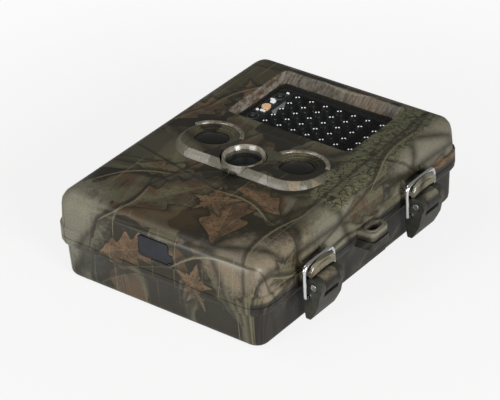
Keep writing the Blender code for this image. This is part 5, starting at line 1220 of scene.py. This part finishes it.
class LampSettings(bpy.types.PropertyGroup):
    columns: IntProperty(name="Columns", description="Lamps across the window", default=7, min=1, max=12)
    rows: IntProperty(name="Rows", description="Lamps up the window", default=5, min=1, max=8)
    column_pitch: FloatProperty(
        name="Column Pitch", description="Distance between columns of lamps",
        default=7.27 * MM, min=5 * MM, max=12 * MM, unit="LENGTH")
    row_pitch: FloatProperty(
        name="Row Pitch", description="Distance between rows of lamps",
        default=5.72 * MM, min=5 * MM, max=12 * MM, unit="LENGTH")
    glint: FloatProperty(
        name="Glint", description="Radius of the bright spots in a lamp",
        default=0.36 * MM, min=0.1 * MM, max=1 * MM, unit="LENGTH")


class StudioSettings(bpy.types.PropertyGroup):
    floor_colour: FloatVectorProperty(
        name="Paper", description="Colour of the studio paper", subtype="COLOR",
        default=(0.78, 0.78, 0.78), min=0.0, max=1.0)
    paper_glow: FloatProperty(
        name="Paper Glow", description="Share of the paper near the camera that keeps no shadow",
        default=0.86, min=0.0, max=1.0)
    key: FloatProperty(
        name="Key Light", description="Power of the soft light on the left", default=16.0, unit="POWER")
    top: FloatProperty(
        name="Top Light", description="Power of the soft light overhead", default=2.5, unit="POWER")
    side: FloatProperty(
        name="Side Light", description="Power of the soft light on the latch side", default=25.0, unit="POWER")
    fill: FloatProperty(
        name="Fill", description="Strength of the light from all round", default=0.20, min=0.0, max=2.0)


class TRAILCAM_OT_shells(bpy.types.Operator):
    """Make the two case shells, the seal and the hinge"""

    bl_idname = "trailcam.shells"
    bl_label = "Case Shells"

    def execute(self, context):
        make_shells(context.scene.trail_case)
        return {"FINISHED"}


class TRAILCAM_OT_latches(bpy.types.Operator):
    """Make the two draw latches with their wires"""

    bl_idname = "trailcam.latches"
    bl_label = "Latches"

    def execute(self, context):
        for number in (1, 2):
            make_latch(number, context.scene.trail_case)
            make_keeper(number)
        return {"FINISHED"}


class TRAILCAM_OT_lens(bpy.types.Operator):
    """Make the lens and its ring"""

    bl_idname = "trailcam.lens"
    bl_label = "Lens"

    def execute(self, context):
        make_lens()
        return {"FINISHED"}


class TRAILCAM_OT_sensors(bpy.types.Operator):
    """Finish the motion sensors"""

    bl_idname = "trailcam.sensors"
    bl_label = "Motion Sensors"

    def execute(self, context):
        make_face()
        make_sensors()
        return {"FINISHED"}


class TRAILCAM_OT_lamps(bpy.types.Operator):
    """Make the infrared lamps behind their window"""

    bl_idname = "trailcam.lamps"
    bl_label = "Infrared Lamps"

    def execute(self, context):
        make_lamps(context.scene.trail_lamps)
        make_strip()
        return {"FINISHED"}


class TRAILCAM_OT_inside(bpy.types.Operator):
    """Finish the control panel and the boards inside"""

    bl_idname = "trailcam.inside"
    bl_label = "Control Panel"

    def execute(self, context):
        make_inside()
        make_marks()
        make_screws()
        return {"FINISHED"}


class TRAILCAM_OT_cells(bpy.types.Operator):
    """Finish the cells and their trays"""

    bl_idname = "trailcam.cells"
    bl_label = "Cells"

    def execute(self, context):
        make_cells()
        return {"FINISHED"}


class TRAILCAM_OT_cover(bpy.types.Operator):
    """Make the rubber cover of the power socket"""

    bl_idname = "trailcam.cover"
    bl_label = "Power Cover"

    def execute(self, context):
        refined("power_cover", "rubber", "dark_rubber", 0.25 * MM)
        return {"FINISHED"}


class TRAILCAM_OT_studio(bpy.types.Operator):
    """Make the paper floor, the lights and the camera"""

    bl_idname = "trailcam.studio"
    bl_label = "Studio"

    def execute(self, context):
        make_studio(context.scene.trail_studio)
        return {"FINISHED"}


OPERATORS = (
    TRAILCAM_OT_shells,
    TRAILCAM_OT_latches,
    TRAILCAM_OT_lens,
    TRAILCAM_OT_sensors,
    TRAILCAM_OT_lamps,
    TRAILCAM_OT_inside,
    TRAILCAM_OT_cells,
    TRAILCAM_OT_cover,
    TRAILCAM_OT_studio,
)


class TRAILCAM_PT_sidebar(bpy.types.Panel):
    """Lists the pieces of the trail camera and their settings"""

    bl_label = "Trail Camera"
    bl_idname = "TRAILCAM_PT_sidebar"
    bl_space_type = "VIEW_3D"
    bl_region_type = "UI"
    bl_category = "Trail Camera"

    def draw(self, context):
        scene = context.scene
        for group in (scene.trail_case, scene.trail_lamps, scene.trail_studio):
            box = self.layout.box()
            for name in group.__annotations__:
                box.prop(group, name)
        for operator in OPERATORS:
            self.layout.operator(operator.bl_idname)


CLASSES = (CaseSettings, LampSettings, StudioSettings) + OPERATORS + (TRAILCAM_PT_sidebar,)


def register():
    for made in CLASSES:
        bpy.utils.register_class(made)
    bpy.types.Scene.trail_case = PointerProperty(type=CaseSettings)
    bpy.types.Scene.trail_lamps = PointerProperty(type=LampSettings)
    bpy.types.Scene.trail_studio = PointerProperty(type=StudioSettings)


def unregister():
    del bpy.types.Scene.trail_studio
    del bpy.types.Scene.trail_lamps
    del bpy.types.Scene.trail_case
    for made in reversed(CLASSES):
        bpy.utils.unregister_class(made)


FINISHES = {}


def main():
    register()
    FINISHES.update(make_finishes())
    bpy.ops.trailcam.shells()
    bpy.ops.trailcam.latches()
    bpy.ops.trailcam.lens()
    bpy.ops.trailcam.sensors()
    bpy.ops.trailcam.lamps()
    bpy.ops.trailcam.inside()
    bpy.ops.trailcam.cells()
    bpy.ops.trailcam.cover()
    bpy.ops.trailcam.studio()


if __name__ == "__main__":
    main()
